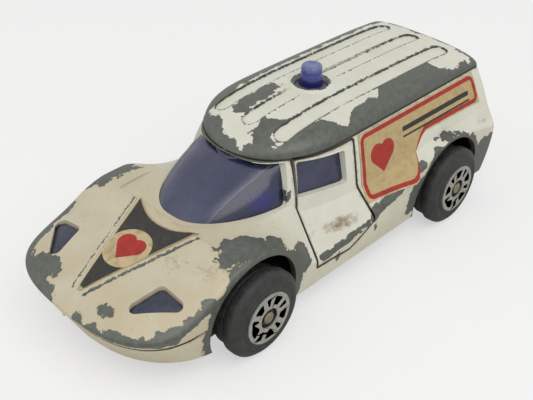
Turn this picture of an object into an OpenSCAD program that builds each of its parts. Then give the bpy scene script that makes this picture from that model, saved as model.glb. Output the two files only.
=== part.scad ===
// Toy ambulance: a die-cast zinc body over a base plate, with free-rolling plastic wheels.
// X points to the nose, Y to the left side, Z up. The origin lies on the ground under the middle.

/* [Overall] */
// Length from the tail to the nose lip
body_length = 98.5; // [95:0.5:102]
// Half-width of the body at the wheel arch lips
arch_half = 18.9; // [18.6:0.1:19.4]
// Height of the sill's lower edge above the ground
sill_z = 4.2; // [3.8:0.1:4.8]
// Half-width of the body along the sill
sill_half = 18; // [17.6:0.1:18.3]
// Height of the roof crown above the ground
roof_z = 32.6; // [32:0.1:33.2]
// Wall thickness of the casting
wall = 1.2; // [1:0.1:1.5]

/* [Running gear] */
// Distance from the nose lip back to the front axle
front_overhang = 26; // [25:0.5:27]
// Distance from the tail forward to the rear axle
rear_overhang = 16.5; // [15.5:0.5:17.5]
// Diameter of the tyres
tyre_d = 16.6; // [16:0.1:17]
// Width of a wheel, from inner rim to hub face
wheel_w = 6.2; // [5.6:0.1:6.6]
// Distance between the hub faces of one axle
track = 43.5; // [43:0.1:44]
// Diameter of the round wheel arch
arch_d = 20.8; // [20.4:0.1:21.2]
// Diameter of the axle rods
axle_d = 1.6; // [1.4:0.1:1.8]
// Radial clearance of the axles in their bearings and in the wheels
axle_clear = 0.05; // [0.03:0.01:0.1]

/* [Nose] */
// Height of the nose lip
lip_z = 12.4; // [12:0.1:12.8]
// How far the chin's lower edge sits behind the lip
chin_back = 4.25; // [3.5:0.25:5]
// Height of the bonnet at the windscreen base
bonnet_z = 19.5; // [19.2:0.1:19.8]

/* [Cabin] */
// Distance from the nose lip back to the windscreen base
screen_back = 22.2; // [21.5:0.1:23]
// Distance from the nose lip back to the roof's front edge
brow_back = 36.6; // [36:0.1:37.4]
// Height of the gutter, where the roof meets the sides
gutter_z = 28.4; // [28:0.1:28.8]
// Half-width of the roof at the gutter
gutter_half = 13.7; // [13.3:0.1:14]
// Forward lean of the tail, per millimetre of height
tail_lean = 0.1; // [0.06:0.01:0.14]
// Distance from the nose lip back to the front edge of the A-pillar
pillar_back = 40.4; // [40:0.1:41]
// Width of the A-pillar
pillar_w = 2.2; // [1.8:0.1:2.6]
// Length of the door window
door_window_l = 10.2; // [9.6:0.1:10.8]
// Thickness of the tinted windows
glass_t = 0.9; // [0.7:0.1:1.1]
// Gap between the windows and the casting
glass_gap = 0.1; // [0.05:0.01:0.15]

/* [Roof] */
// Number of channels sunk along the roof
channel_count = 3; // [1:2:3]
// Spacing of the roof channels
channel_pitch = 7.4; // [7:0.1:7.6]
// Width of a roof channel
channel_w = 3.3; // [2.8:0.1:3.6]
// Depth of the roof channels and of the panel lines
line_depth = 0.35; // [0.25:0.05:0.45]
// Width of the panel lines
line_w = 0.45; // [0.35:0.05:0.55]
// Distance from the nose lip back to the beacon's middle
beacon_back = 59.3; // [58.5:0.1:60]
// Diameter of the beacon
beacon_d = 4.2; // [3.8:0.1:4.6]
// Height of the beacon above the roof
beacon_h = 3.8; // [3.4:0.1:4.4]
// Diameter of the hole in the roof that holds the beacon's flange
ring_d = 6.8; // [6.4:0.1:7.4]

/* [Base and trim] */
// Thickness of the base plate
base_t = 1.6; // [1.4:0.1:1.8]
// How far the base plate stands below the sill
base_drop = 0.5; // [0.3:0.1:0.8]
// Gap between the base plate and the casting
base_gap = 0.2; // [0.1:0.05:0.3]
// Diameter of the posts that hold the base
post_d = 3.6; // [3.2:0.1:4]
// Diameter of the silver hub trim
hub_d = 10; // [9.4:0.1:10.4]
// Thickness of the paper labels
label_t = 0.15; // [0.1:0.01:0.2]

/* [Hidden] */
$fn = 48;

// Places along the length
nose_x = body_length / 2;
tail_x = -nose_x;
front_x = nose_x - front_overhang;
rear_x = tail_x + rear_overhang;
screen_x = nose_x - screen_back;
brow_x = nose_x - brow_back;
pillar_x = nose_x - pillar_back;
beacon_x = nose_x - beacon_back;
chin_x = nose_x - chin_back;
chin_start = front_x + 7;
lip_start = front_x + 13;
cabin_start = pillar_x - 1;
roof_start = brow_x - 16.6;
mid_x = (front_x + rear_x) / 2;

// Heights and radii that follow from the driving sizes
axle_z = tyre_d / 2;
arch_r = arch_d / 2;
arch_top = axle_z + arch_r;
belt_z = sill_z + 9.8;
base_z = sill_z - base_drop;
base_top = base_z + base_t;
tiny = 0.06;

function mix(a, b, t) = a + (b - a) * t;
function clamp(t) = min(1, max(0, t));
function ease(t) = let(c = clamp(t)) c * c * (3 - 2 * c);
function oval(t, n) = t <= 0 ? 1 : t >= 1 ? 0 : pow(1 - pow(t, n), 1 / n);

// Smooth curve through [place, value] points that never overshoots them
function span(pts, x, i = 0) = i >= len(pts) - 2 || x <= pts[i + 1][0] ? i : span(pts, x, i + 1);
function rise(pts, i) = (pts[i + 1][1] - pts[i][1]) / (pts[i + 1][0] - pts[i][0]);
function inner_slope(a, b) = a * b <= 0 ? 0 : 2 * a * b / (a + b);
function slope(pts, i) = i == 0 ? rise(pts, 0)
    : i == len(pts) - 1 ? rise(pts, i - 1)
    : inner_slope(rise(pts, i - 1), rise(pts, i));
function hermite(p, q, m, n, h, t) = p * (1 + 2 * t) * (1 - t) * (1 - t) + q * t * t * (3 - 2 * t)
    + h * t * (1 - t) * (m * (1 - t) - n * t);
function curve(pts, x) = let(i = span(pts, x), h = pts[i + 1][0] - pts[i][0])
    hermite(pts[i][1], pts[i + 1][1], slope(pts, i), slope(pts, i + 1), h, clamp((x - pts[i][0]) / h));

// Feature lines of the casting, each as [place along X, value]
shoulder_height = [
    [tail_x, belt_z + 2.2],
    [rear_x - arch_r, belt_z + 3.6],
    [rear_x, arch_top + 0.7],
    [rear_x + arch_r, belt_z + 2.8],
    [mid_x - 2, belt_z - 1.6],
    [mid_x + 5, belt_z - 3.6],
    [mid_x + 11.5, belt_z - 4.4],
    [front_x - arch_r, belt_z + 1.2],
    [front_x - 6, arch_top - 0.7],
    [front_x - 2, arch_top + 0.7],
    [front_x + 2, arch_top + 0.7],
    [front_x + 6, arch_top - 0.2],
    [front_x + arch_r, belt_z + 2.3],
    [front_x + 14, belt_z + 0.8],
    [front_x + 18, mix(lip_z, belt_z, 0.75)],
    [nose_x, lip_z]
];
shoulder_half = [
    [tail_x, arch_half + 0.6],
    [rear_x, arch_half + 0.4],
    [mid_x - 2, arch_half + 0.5],
    [mid_x + 11.5, arch_half - 0.5],
    [front_x, arch_half],
    [lip_start, arch_half + 0.1]
];
waist_height = [
    [tail_x, bonnet_z + 1.2],
    [mid_x - 2, bonnet_z - 1.5],
    [cabin_start - 2.5, bonnet_z - 2.2],
    [cabin_start + 1, bonnet_z + 0.2],
    [cabin_start + 5, bonnet_z + 0.5],
    [screen_x, bonnet_z]
];
waist_half = [
    [tail_x, gutter_half + 3.5],
    [mid_x - 2, gutter_half + 2.1],
    [cabin_start, gutter_half - 1.2]
];
bonnet_height = [
    [screen_x, bonnet_z],
    [front_x + 12.5, mix(bonnet_z, lip_z, 0.27)],
    [nose_x - 3, mix(bonnet_z, lip_z, 0.7)],
    [nose_x, lip_z + 0.3]
];
roof_height = [
    [tail_x, roof_z - 1.9],
    [tail_x + 3, roof_z - 1],
    [rear_x, roof_z - 0.2],
    [beacon_x, roof_z],
    [brow_x - 9.5, roof_z - 0.7],
    [brow_x - 4, roof_z - 2],
    [brow_x - 1.3, roof_z - 3.4],
    [brow_x, gutter_z - 0.8]
];
gutter_height = [[tail_x, gutter_z], [roof_start, gutter_z], [brow_x, gutter_z - 0.9]];
deck_power = [[cabin_start, 1], [front_x - 7, 1.4], [front_x, 2.8], [lip_start, 4]];
deck_hump = [[cabin_start, 0], [front_x - 7, 0], [front_x, 0.4], [lip_start, 0]];
wall_power = [[cabin_start - 8, 1.1], [cabin_start, 1.45], [brow_x, 2.3], [screen_x, 2]];
flank_power = [[front_x, 1.8], [chin_start, 1]];
roof_power = 2.7;
screen_bulge = 0.5;

// Half-width of the flank at station x, where t runs from sill (0) to shoulder (1)
function flank_half(x, t) = let(e = curve(flank_power, x))
    mix(sill_half, curve(shoulder_half, x), 1 - pow(1 - t, e));
function plan_half(x, t, d) = let(
        from = mix(chin_start, lip_start, t),
        to = mix(chin_x, nose_x, t) - 1.6 * d
    )
    (flank_half(min(x, from), t) - d) * oval((x - from) / (to - from), mix(2.15, 2.8, t));

// Centre line of the upper surface, from bonnet to windscreen
function screen_line(x) = let(s = clamp((x - brow_x) / (screen_x - brow_x)))
    mix(gutter_z - 0.9, bonnet_z, s) + 4 * screen_bulge * s * (1 - s);
function waist(x) = x > screen_x ? [3, curve(bonnet_height, x)]
    : [x < cabin_start ? curve(waist_half, x)
        : max(0.4, (gutter_half - 1.2) * oval((x - cabin_start) / (screen_x - cabin_start), 1.9)),
       curve(waist_height, x)];
function gutter(x) = x > screen_x ? [1.5, curve(bonnet_height, x)]
    : x > brow_x ? [min(1.2, waist(x)[0] / 2), max(screen_line(x), waist(x)[1] + tiny)]
    : [max(0.3, gutter_half * oval((x - roof_start) / (brow_x - roof_start), 2.2)),
       curve(gutter_height, x)];
function roof_top(x) = x > brow_x ? gutter(x)[1] + tiny / 2 : curve(roof_height, x);

// Points of one half of the cross-section, from the sill to the middle of the top.
// The steps go up the flank, in over the deck, up the cabin wall and in over the roof.
outer_steps = [4, 6, 6, 5];
inner_steps = [2, 4, 4, 4];
function low_t(x, d) = min(1 - corner, clamp((x - chin_x + 1.6 * d) / chin_back));
function flank_z(x, t, d) = mix(sill_z - (d > 0 ? 4 * d * (1 - t) : 0), curve(shoulder_height, x) - d, t);
function flank_point(x, t, d) = [max(0.2, plan_half(x, t, d)), flank_z(x, t, d)];
function deck_point(x, u, d) = let(
        s = flank_point(x, 1, d),
        w = waist(x),
        lift = curve(deck_hump, x) * sin(180 * u)
    )
    [mix(min(w[0], s[0] * 0.9) - (w[0] > 2 * d ? d * 0.6 : 0), s[0], u),
     mix(w[1] - d, s[1], pow(u, curve(deck_power, x))) + lift];
function wall_point(x, v, d) = let(
        w = deck_point(x, 0, d),
        g = [min(gutter(x)[0] - (gutter(x)[0] > 2 * d ? d : 0), w[0] * 0.97), gutter(x)[1] - 0.8 * d],
        e = 2 / curve(wall_power, x)
    )
    [mix(g[0], w[0], pow(cos(90 * v), e)), mix(w[1], max(g[1], w[1] + tiny), pow(sin(90 * v), e))];
function roof_point(x, v, d) = let(g = wall_point(x, 1, d), e = 2 / roof_power)
    [g[0] * pow(cos(90 * v), e), g[1] + max(tiny / 2, roof_top(x) - d - g[1]) * pow(sin(90 * v), e)];
corner = 0.12;
function half_section(x, d) = let(low = low_t(x, d), n = d > line_depth ? inner_steps : outer_steps)
    concat(
        [for (i = [0:n[0] - 1]) flank_point(x, mix(low, 1 - corner / 2, i / (n[0] - 1)), d)],
        [(flank_point(x, 1 - corner / 4, d) + 2 * flank_point(x, 1, d) + deck_point(x, 1 - corner / 4, d)) / 4],
        [for (i = [0:n[1] - 1]) deck_point(x, mix(1 - corner / 2, 0, i / n[1]), d)],
        [for (i = [0:n[2] - 1]) wall_point(x, i / n[2], d)],
        [for (i = [0:n[3]]) roof_point(x, i / n[3], d)]
    );
function ring(x, d) = let(h = half_section(x, d), n = len(h))
    concat(h, [for (i = [n - 2:-1:0]) [-h[i][0], h[i][1]]]);
function lean_x(x, z) = x + ease((rear_x - 4 - x) / 8) * tail_lean * max(0, z - belt_z);
function ring_points(x, d) = [for (p = ring(x, d)) [lean_x(x, p[1]), p[0], p[1]]];

// Solid lofted through the rings at the given stations, which run from tail to nose
module loft(stations, d) {
    rings = [for (x = stations) ring_points(x, d)];
    n = len(rings[0]);
    last = (len(stations) - 1) * n;
    top = (n - 1) / 2;
    sides = [for (k = [0:len(stations) - 2]) for (i = [0:n - 1])
        let(a = k * n + i, b = k * n + (i + 1) % n)
        each [[a, a + n, b + n], [a, b + n, b]]];
    tail = [for (i = [0:top - 1]) let(p = n - 1 - i, q = p - 1)
        each (i == top - 1 ? [[i, top, p]] : [[i, i + 1, q], [i, q, p]])];
    nose = [for (f = tail) [f[2] + last, f[1] + last, f[0] + last]];
    polyhedron([for (r = rings) each r], concat(sides, tail, nose), convexity = 8);
}

outer_stations = concat(
    [tail_x, tail_x + 1, tail_x + 3],
    [for (k = [0:8]) mix(tail_x + 6, cabin_start - 8, k / 8)],
    [for (k = [0:5]) mix(cabin_start - 6, pillar_x + 0.5, k / 5)],
    [for (k = [0:4]) mix(pillar_x + 1.6, brow_x, k / 4)],
    [for (k = [0:7]) mix(brow_x + 0.4, screen_x - 0.05, sin(90 * k / 7))],
    [for (k = [0:6]) mix(screen_x + 0.6, chin_x, k / 6)],
    [for (k = [1:6]) mix(chin_x, nose_x - 0.04, sin(90 * k / 6))]
);
// The cavity and the windows that line it share the stations of the cabin
cabin_stations = concat(
    [for (k = [0:5]) mix(tail_x + 5, cabin_start - 4, k / 5)],
    [for (k = [0:4]) mix(cabin_start - 2, brow_x - 0.6, k / 4)],
    [for (k = [0:5]) mix(brow_x + 0.4, screen_x - 0.6, k / 5)]
);
cavity_nose_x = chin_x - 2 * wall;
inner_stations = concat(
    [tail_x + wall],
    cabin_stations,
    [for (k = [0:4]) mix(screen_x + 1, cavity_nose_x, k / 4)]
);
// Places of the openings and of the pieces that fill them
door_rear_x = pillar_x - pillar_w - door_window_l;
window_top = gutter_z - 1;
window_sill = bonnet_z + 1;
window_r = 0.6;
pillar_rake = 0.8;
lamp_r = 1.1;
lamp_points = [
    [nose_x - 6.7, arch_half - 8.3],
    [nose_x - 11.2, arch_half - 7.3],
    [nose_x - 11.2, arch_half - 3.7]
];
rear_window_half = 9.4;
post_front_x = chin_x - 7;
post_rear_x = tail_x + wall + post_d / 2 + 0.8;
channel_front_x = brow_x - 8.2;
channel_rear_x = tail_x + 7.6;
ring_h = 0.3;

function side_at(x, z) = let(
        w = waist(x),
        g = gutter(x),
        s = [curve(shoulder_half, x), curve(shoulder_height, x)]
    )
    z > w[1] ? mix(g[0], w[0], oval((z - w[1]) / (g[1] - w[1]), curve(wall_power, x)))
        : mix(s[0], w[0], (z - s[1]) / (w[1] - s[1]));
function bonnet_at(x, y) = let(
        s = flank_point(x, 1, 0),
        w = waist(x),
        u = clamp((abs(y) - w[0]) / (s[0] - w[0]))
    )
    mix(w[1], s[1], pow(u, curve(deck_power, x))) + curve(deck_hump, x) * sin(180 * u);

module for_both_sides() {
    children();
    mirror([0, 1, 0]) children();
}
module rounded_plate(points, r, h) {
    hull() for (p = points) translate(p) cylinder(r = r, h = h, $fn = 20);
}

// Door windows: a prism across the body with rounded corners
module door_window_cut() {
    front = pillar_x - pillar_w - window_r;
    rear = door_rear_x + window_r;
    corners = [
        [front, window_top - window_r],
        [rear, window_top - 0.6 - window_r],
        [rear - 0.2, window_sill - 0.3 + window_r],
        [front + 0.2, window_sill + window_r]
    ];
    translate([0, 25, 0]) rotate([90, 0, 0]) rounded_plate(corners, window_r, 50);
}
module rear_window_cut() {
    heights = [window_sill + 1.4, window_top - 0.6];
    corners = [for (y = [-1, 1]) for (z = heights) [z, y * (rear_window_half - 1)]];
    translate([tail_x - 1, 0, 0]) rotate([0, -90, 0]) mirror([0, 0, 1]) rounded_plate(corners, 1, 8);
}
module windscreen_cut() {
    half = gutter_half - 0.9;
    side = [
        [pillar_x + pillar_rake, bonnet_z + 0.4],
        [screen_x - 8, bonnet_z + 0.3],
        [screen_x - 0.4, bonnet_z + 0.1],
        [screen_x + 2, gutter_z - 1.5],
        [pillar_x - pillar_rake, gutter_z - 0.9]
    ];
    translate([0, half, 0]) rotate([90, 0, 0]) linear_extrude(2 * half) polygon(side);
}
module headlamp_cut() {
    translate([0, 0, lip_z - 0.6]) rounded_plate(lamp_points, lamp_r, 12);
}
module arch_cut(x) {
    translate([x, arch_half - 5, axle_z]) rotate([-90, 0, 0]) cylinder(r = arch_r, h = 10, $fn = 48);
}
// Tools for what is sunk into the skin: roof channels, door shut-lines and a groove round the nose
module roof_channel(y) {
    bow = 0.06 * abs(y);
    ends = [[channel_rear_x, y], [channel_front_x + channel_w / 2 - bow, y]];
    translate([0, 0, gutter_z + 1]) rounded_plate(ends, channel_w / 2, roof_z);
}
module door_outline() {
    front = pillar_x - 1.5;
    rear = door_rear_x - 2.9;
    foot = sill_z + 3.8;
    hull() {
        translate([rear, belt_z + 5]) square([front - rear, gutter_z - belt_z - 5.2]);
        translate([rear + 1.4, foot + 4]) circle(r = 3, $fn = 24);
        translate([rear + 6, foot + 1]) circle(r = 1, $fn = 24);
        translate([front - 0.5, foot + 0.5]) circle(r = 0.5, $fn = 24);
    }
}
module door_line() {
    translate([0, arch_half + 5, 0]) rotate([90, 0, 0]) linear_extrude(2 * arch_half + 10) difference() {
        door_outline();
        offset(delta = -line_w) door_outline();
    }
}
module nose_line() {
    translate([front_x + arch_r + 1, -arch_half - 1, lip_z - 1.9])
        cube([body_length, 2 * arch_half + 2, line_w]);
}
module sunk_lines() {
    difference() {
        union() {
            for (i = [0:channel_count - 1]) roof_channel((i - (channel_count - 1) / 2) * channel_pitch);
            door_line();
            nose_line();
        }
        loft(outer_stations, line_depth);
    }
}
// Low ridge along each edge of the bonnet label
module bonnet_ridge() {
    steps = 4;
    ends = [for (k = [0:steps]) bonnet_label_point(k / steps, 1) + [0, ridge_gap, 0]];
    for (k = [0:steps - 1]) hull() for (p = [ends[k], ends[k + 1]])
        translate([p[0], p[1], bonnet_at(p[0], p[1]) - 0.7])
            cylinder(d1 = ridge_w, d2 = ridge_w * 0.6, h = 0.7 + ridge_h, $fn = 9);
}
module marker_lamp() {
    hull() for (x = [tail_x + 4.6, tail_x + 6.2]) for (z = [belt_z + 3.8, belt_z + 5])
        translate([x, side_at(x, z) - 0.8, z]) rotate([-90, 0, 0]) cylinder(r = 0.5, h = 1.1, $fn = 16);
}
// Raised ring on the roof, with the hole that the beacon's flange fills
module beacon_ring() {
    translate([beacon_x, 0, roof_z - 0.9])
        cylinder(d1 = ring_d + 3, d2 = ring_d + 0.8, h = 0.9 + ring_h, $fn = 36);
}
module beacon_hole() {
    translate([beacon_x, 0, roof_z - 4]) cylinder(d = ring_d, h = 8, $fn = 36);
}
module base_post(x, top) {
    translate([x, 0, base_z + 0.8]) cylinder(d = post_d - 1, h = base_t, $fn = 24);
    translate([x, 0, base_z + 0.1]) cylinder(d = post_d + 0.6, h = 0.75, $fn = 24);
    translate([x, 0, base_top + 0.05]) cylinder(d = post_d, h = top - base_top, $fn = 24);
}

module body_casting() {
    color("ivory") union() {
        difference() {
            union() {
                loft(outer_stations, 0);
                for_both_sides() marker_lamp();
                for_both_sides() bonnet_ridge();
            }
            difference() {
                sunk_lines();
                beacon_ring();
            }
            loft(inner_stations, wall);
            for_both_sides() arch_cut(front_x);
            for_both_sides() arch_cut(rear_x);
            windscreen_cut();
            door_window_cut();
            rear_window_cut();
            for_both_sides() headlamp_cut();
            beacon_hole();
        }
        difference() {
            beacon_ring();
            beacon_hole();
        }
        base_post(post_front_x, curve(bonnet_height, post_front_x) - wall / 2);
        base_post(post_rear_x, belt_z);
        translate([tail_x + wall / 2, -wall / 2, base_top + 0.6])
            cube([post_rear_x - tail_x - wall / 2, wall, belt_z - base_top - 0.6]);
    }
}

// Plan outline of the base plate, inside the sill
base_half = sill_half - wall - base_gap;
base_nose_x = cavity_nose_x - base_gap;
base_tail_x = tail_x + wall + base_gap;
wheel_room = 1;
wheel_inner = track / 2 - wheel_w;
bearing_w = 3;
bearing_y = wheel_inner - wheel_room - bearing_w - 1;
bearing_wall = 1.2;
function base_edge(x) = base_half * oval((x - chin_start) / (base_nose_x - chin_start), 2.15);
module base_outline() {
    ahead = [for (k = [0:12]) mix(chin_start, base_nose_x, sin(90 * k / 12))];
    right = [for (x = ahead) [x, -base_edge(x)]];
    left = [for (i = [len(ahead) - 2:-1:0]) [ahead[i], base_edge(ahead[i])]];
    polygon(concat([[base_tail_x, base_half], [base_tail_x, -base_half]], right, left));
}
module wheel_notch(x) {
    reach = tyre_d / 2 + wheel_room;
    for_both_sides() translate([x - reach, wheel_inner - wheel_room, base_z - 1])
        cube([2 * reach, 10, base_t + 2]);
}
module bearing_block(x) {
    top = axle_z + axle_d / 2 + bearing_wall;
    half = axle_d / 2 + bearing_wall;
    for_both_sides() translate([x - half, bearing_y, base_top - tiny])
        cube([2 * half, bearing_w, top - base_top + tiny]);
}
module axle_bore(x) {
    translate([x, -track / 2, axle_z]) rotate([-90, 0, 0]) cylinder(d = axle_d + 2 * axle_clear, h = track);
}
module post_hole(x) {
    translate([x, 0, base_z - 1]) cylinder(d = post_d - 0.6, h = base_t + 2);
    translate([x, 0, base_z - 1]) cylinder(d = post_d + 1, h = 1.95);
}
module base_plate() {
    color("dimgray") difference() {
        union() {
            translate([0, 0, base_z]) linear_extrude(base_t) base_outline();
            bearing_block(front_x);
            bearing_block(rear_x);
        }
        wheel_notch(front_x);
        wheel_notch(rear_x);
        axle_bore(front_x);
        axle_bore(rear_x);
        post_hole(post_front_x);
        post_hole(post_rear_x);
    }
}

// Windows: one tinted moulding that lines the cabin
glass_back_x = tail_x + wall + 2 * glass_gap;
glass_stations = concat([glass_back_x], cabin_stations);
glass_inner_stations = concat(
    [glass_back_x + glass_t],
    [for (i = [0:len(cabin_stations) - 3]) cabin_stations[i]],
    [screen_x - 3.4]
);
module window_glazing() {
    skirt_z = bonnet_z - 0.5;
    color("midnightblue") difference() {
        intersection() {
            loft(glass_stations, wall + glass_gap);
            translate([tail_x, -arch_half, skirt_z]) cube([body_length, 2 * arch_half, roof_z]);
        }
        loft(glass_inner_stations, wall + glass_gap + glass_t);
        translate([beacon_x, 0, roof_z - 6]) cylinder(d = beacon_d + 0.2, h = 8);
    }
}

// Beacon: a lamp with a wide flange that sits in the roof's hole and a spigot through the windows

module roof_beacon() {
    r = beacon_d / 2;
    flange_r = ring_d / 2 - 0.15;
    top = roof_z + beacon_h;
    seat = roof_z - wall - glass_gap + 0.1;
    flange = roof_z - 0.4;
    spigot = glass_t + 0.4;
    dome = 0.9;
    profile = concat(
        [[0, seat - spigot], [r, seat - spigot], [r, seat], [flange_r, seat], [flange_r, flange], [r, flange]],
        [for (k = [0:6]) [r - dome + dome * cos(90 * k / 6), top - dome + dome * sin(90 * k / 6)]],
        [[0, top]]
    );
    color("slateblue") translate([beacon_x, 0, 0]) rotate_extrude() polygon(profile);
}

lens_sink = 0.6;
lens_t = 1.2;
lens_gap = 0.12;
module headlamp_lens() {
    hull() for (p = lamp_points)
        translate([p[0], p[1], bonnet_at(p[0], p[1]) - lens_sink - lens_t])
            cylinder(r = lamp_r - lens_gap, h = lens_t, $fn = 24);
}
module headlamp_lens_left() {
    color("darkslateblue") headlamp_lens();
}
module headlamp_lens_right() {
    color("darkslateblue") mirror([0, 1, 0]) headlamp_lens();
}

// Seats: two moulded seats on one floor, as a side profile carried across
seat_w = 8;
seat_gap = 1.6;
seat_x = mid_x + 5;
floor_t = 1.2;
module seat_profile() {
    polygon(concat(
        [[seat_x + 6, base_top + floor_t], [seat_x + 6.4, base_top + 4.6]],
        [for (k = [0:4]) [seat_x + 5.4 + cos(90 * k / 4), base_top + 4.6 + sin(90 * k / 4)]],
        [[seat_x + 0.6, base_top + 5]],
        [for (k = [0:6]) [seat_x - 2.2 + cos(180 * k / 6), base_top + 12.4 + sin(180 * k / 6)]],
        [[seat_x - 2.4, base_top + floor_t]]
    ));
}
module seat_moulding() {
    half = seat_w + seat_gap / 2;
    color("darkslategray") union() {
        translate([seat_x - 6, -half, base_top]) cube([14, 2 * half, floor_t]);
        for_both_sides() translate([0, half, -tiny]) rotate([90, 0, 0]) linear_extrude(seat_w) seat_profile();
    }
}

// Labels: thin sheets that follow the casting
module sheet(rows, lift) {
    n = len(rows[0]);
    m = len(rows);
    count = n * m;
    low = [for (r = rows) each r];
    high = [for (p = low) p + lift];
    inside = [for (i = [0:m - 2]) for (j = [0:n - 2]) let(a = i * n + j)
        each [[a, a + 1, a + n + 1], [a, a + n + 1, a + n]]];
    outside = [for (f = inside) [f[2] + count, f[1] + count, f[0] + count]];
    border = concat(
        [for (j = [0:n - 2]) j],
        [for (i = [0:m - 2]) i * n + n - 1],
        [for (j = [n - 1:-1:1]) (m - 1) * n + j],
        [for (i = [m - 1:-1:1]) i * n]
    );
    rim = [for (k = [0:len(border) - 1]) let(a = border[k], b = border[(k + 1) % len(border)])
        each [[a, a + count, b + count], [a, b + count, b]]];
    polyhedron(concat(low, high), concat(inside, outside, rim), convexity = 6);
}
label_lift = 0.22;
ridge_w = 1.1;
ridge_h = 0.25;
ridge_gap = ridge_w * 0.75;
bonnet_label_half = 7.5;
bonnet_label_rear = screen_x - 1.2;
bonnet_label_tip = nose_x - 3.4;
function bonnet_label_start(v) = bonnet_label_rear + 2.6 * (1 - v * v);
function bonnet_label_point(u, v) = let(
        x = mix(bonnet_label_start(v), bonnet_label_tip, u),
        y = v * mix(bonnet_label_half, 0.4, u)
    )
    [x, y, bonnet_at(x, y) + label_lift];
module bonnet_label() {
    rows = [for (i = [0:12]) [for (j = [4:-1:-4]) bonnet_label_point(i / 12, j / 4)]];
    color("black") sheet(rows, [0, 0, label_t]);
}
side_label_front = door_rear_x - 3.9;
side_label_rear = tail_x + 3.6;
side_label_step = rear_x + arch_r - 1;
function side_label_low(x) = mix(belt_z + 1, belt_z + 8, ease((side_label_step + 4.5 - x) / 8));
function side_label_point(x, v) = let(z = mix(gutter_z - 0.4, side_label_low(x), v))
    [lean_x(x, z), side_at(x, z) + label_lift, z];
module side_label() {
    xs = [for (k = [0:14]) mix(side_label_front, side_label_rear, k / 14)];
    rows = [for (x = xs) [for (j = [0:4]) side_label_point(x, j / 4)]];
    sheet(rows, [0, label_t, 0.35 * label_t]);
}
module side_label_left() {
    color("burlywood") side_label();
}
module side_label_right() {
    color("burlywood") mirror([0, 1, 0]) side_label();
}

// Running gear
bore_r = axle_d / 2 + axle_clear;
boss_r = axle_d / 2 + 0.9;
hub_trim_t = 0.2;
head_t = 0.5;
head_r = axle_d / 2 + 0.35;
play = 0.15;
hub_face = track / 2;
hub_dish = 0.9;
boss_t = 0.4;
module axle(x) {
    half = hub_face - hub_dish + boss_t + play;
    color("silver") translate([x, 0, axle_z]) rotate([-90, 0, 0]) {
        translate([0, 0, -half]) cylinder(d = axle_d, h = 2 * half);
        for (s = [-1, 1]) translate([0, 0, s * (half + head_t / 2)])
            cylinder(r = head_r, h = head_t, center = true);
    }
}
module front_axle() {
    axle(front_x);
}
module rear_axle() {
    axle(rear_x);
}

// A wheel's profile: distance from the axle against distance inboard of the hub face
tyre_r = tyre_d / 2;
tread_outer = 0.9;
tread_step = wheel_w * 0.56;
step_r = tyre_r - 0.55;
groove_r = tyre_r - 0.95;
rim_r = hub_d / 2 + 0.5;
hub_hole_r = hub_d / 2 - 3.1;
module wheel_profile() {
    shoulder = 0.7;
    polygon(concat(
        [[bore_r, hub_dish - boss_t], [boss_r, hub_dish - boss_t], [boss_r, hub_dish], [hub_hole_r, hub_dish]],
        [[hub_hole_r, hub_trim_t], [rim_r, hub_trim_t]],
        [[rim_r + 0.4, 0.5], [tyre_r - 1.6, tread_outer - 0.35]],
        [for (a = [0:18:90]) [tyre_r + shoulder * (sin(a) - 1), tread_outer + shoulder * (1 - cos(a))]],
        [[tyre_r, tread_step - 0.5], [groove_r, tread_step - 0.2]],
        [[groove_r, tread_step + 0.1], [step_r, tread_step + 0.3]],
        [[step_r, wheel_w - 0.6], [step_r - 0.5, wheel_w], [rim_r - 0.6, wheel_w]],
        [[rim_r - 0.9, wheel_w - 1.6], [boss_r + 1.2, wheel_w - 1.6]],
        [[boss_r + 0.8, wheel_w], [bore_r, wheel_w]]
    ));
}
module on_axle(x, side) {
    translate([x, side * hub_face, axle_z]) rotate([side * 90, 0, 0]) children();
}
module wheel(x, side) {
    color("black") on_axle(x, side) rotate_extrude() wheel_profile();
}
module front_left_wheel() {
    wheel(front_x, 1);
}
module front_right_wheel() {
    wheel(front_x, -1);
}
module rear_left_wheel() {
    wheel(rear_x, 1);
}
module rear_right_wheel() {
    wheel(rear_x, -1);
}

// Silver hub trim: a ring with five wide and five narrow openings
hub_inner_r = hub_hole_r + 0.05;
slot_in = hub_d / 2 - 2.4;
slot_out = hub_d / 2 - 0.7;
module slot(angle, spread) {
    steps = 4;
    outer = [for (k = [0:steps]) let(a = angle - spread + 2 * spread * k / steps) slot_out * [cos(a), sin(a)]];
    waisted = 0.6 * spread;
    inner = [for (k = [steps:-1:0]) let(a = angle - waisted + 2 * waisted * k / steps) slot_in * [cos(a), sin(a)]];
    polygon(concat(outer, inner));
}
module hub_trim(x, side) {
    color("silver") on_axle(x, side) linear_extrude(hub_trim_t) difference() {
        circle(d = hub_d);
        circle(r = hub_inner_r);
        for (k = [0:4]) {
            slot(72 * k, 17);
            slot(72 * k + 36, 8);
        }
    }
}
module front_left_hub_trim() {
    hub_trim(front_x, 1);
}
module front_right_hub_trim() {
    hub_trim(front_x, -1);
}
module rear_left_hub_trim() {
    hub_trim(rear_x, 1);
}
module rear_right_hub_trim() {
    hub_trim(rear_x, -1);
}

body_casting();
base_plate();
window_glazing();
roof_beacon();
headlamp_lens_left();
headlamp_lens_right();
seat_moulding();
bonnet_label();
side_label_left();
side_label_right();
front_axle();
rear_axle();
front_left_wheel();
front_right_wheel();
rear_left_wheel();
rear_right_wheel();
front_left_hub_trim();
front_right_hub_trim();
rear_left_hub_trim();
rear_right_hub_trim();
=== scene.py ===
import math

import bmesh
import bpy
import numpy as np
from mathutils import Matrix, Vector


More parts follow.
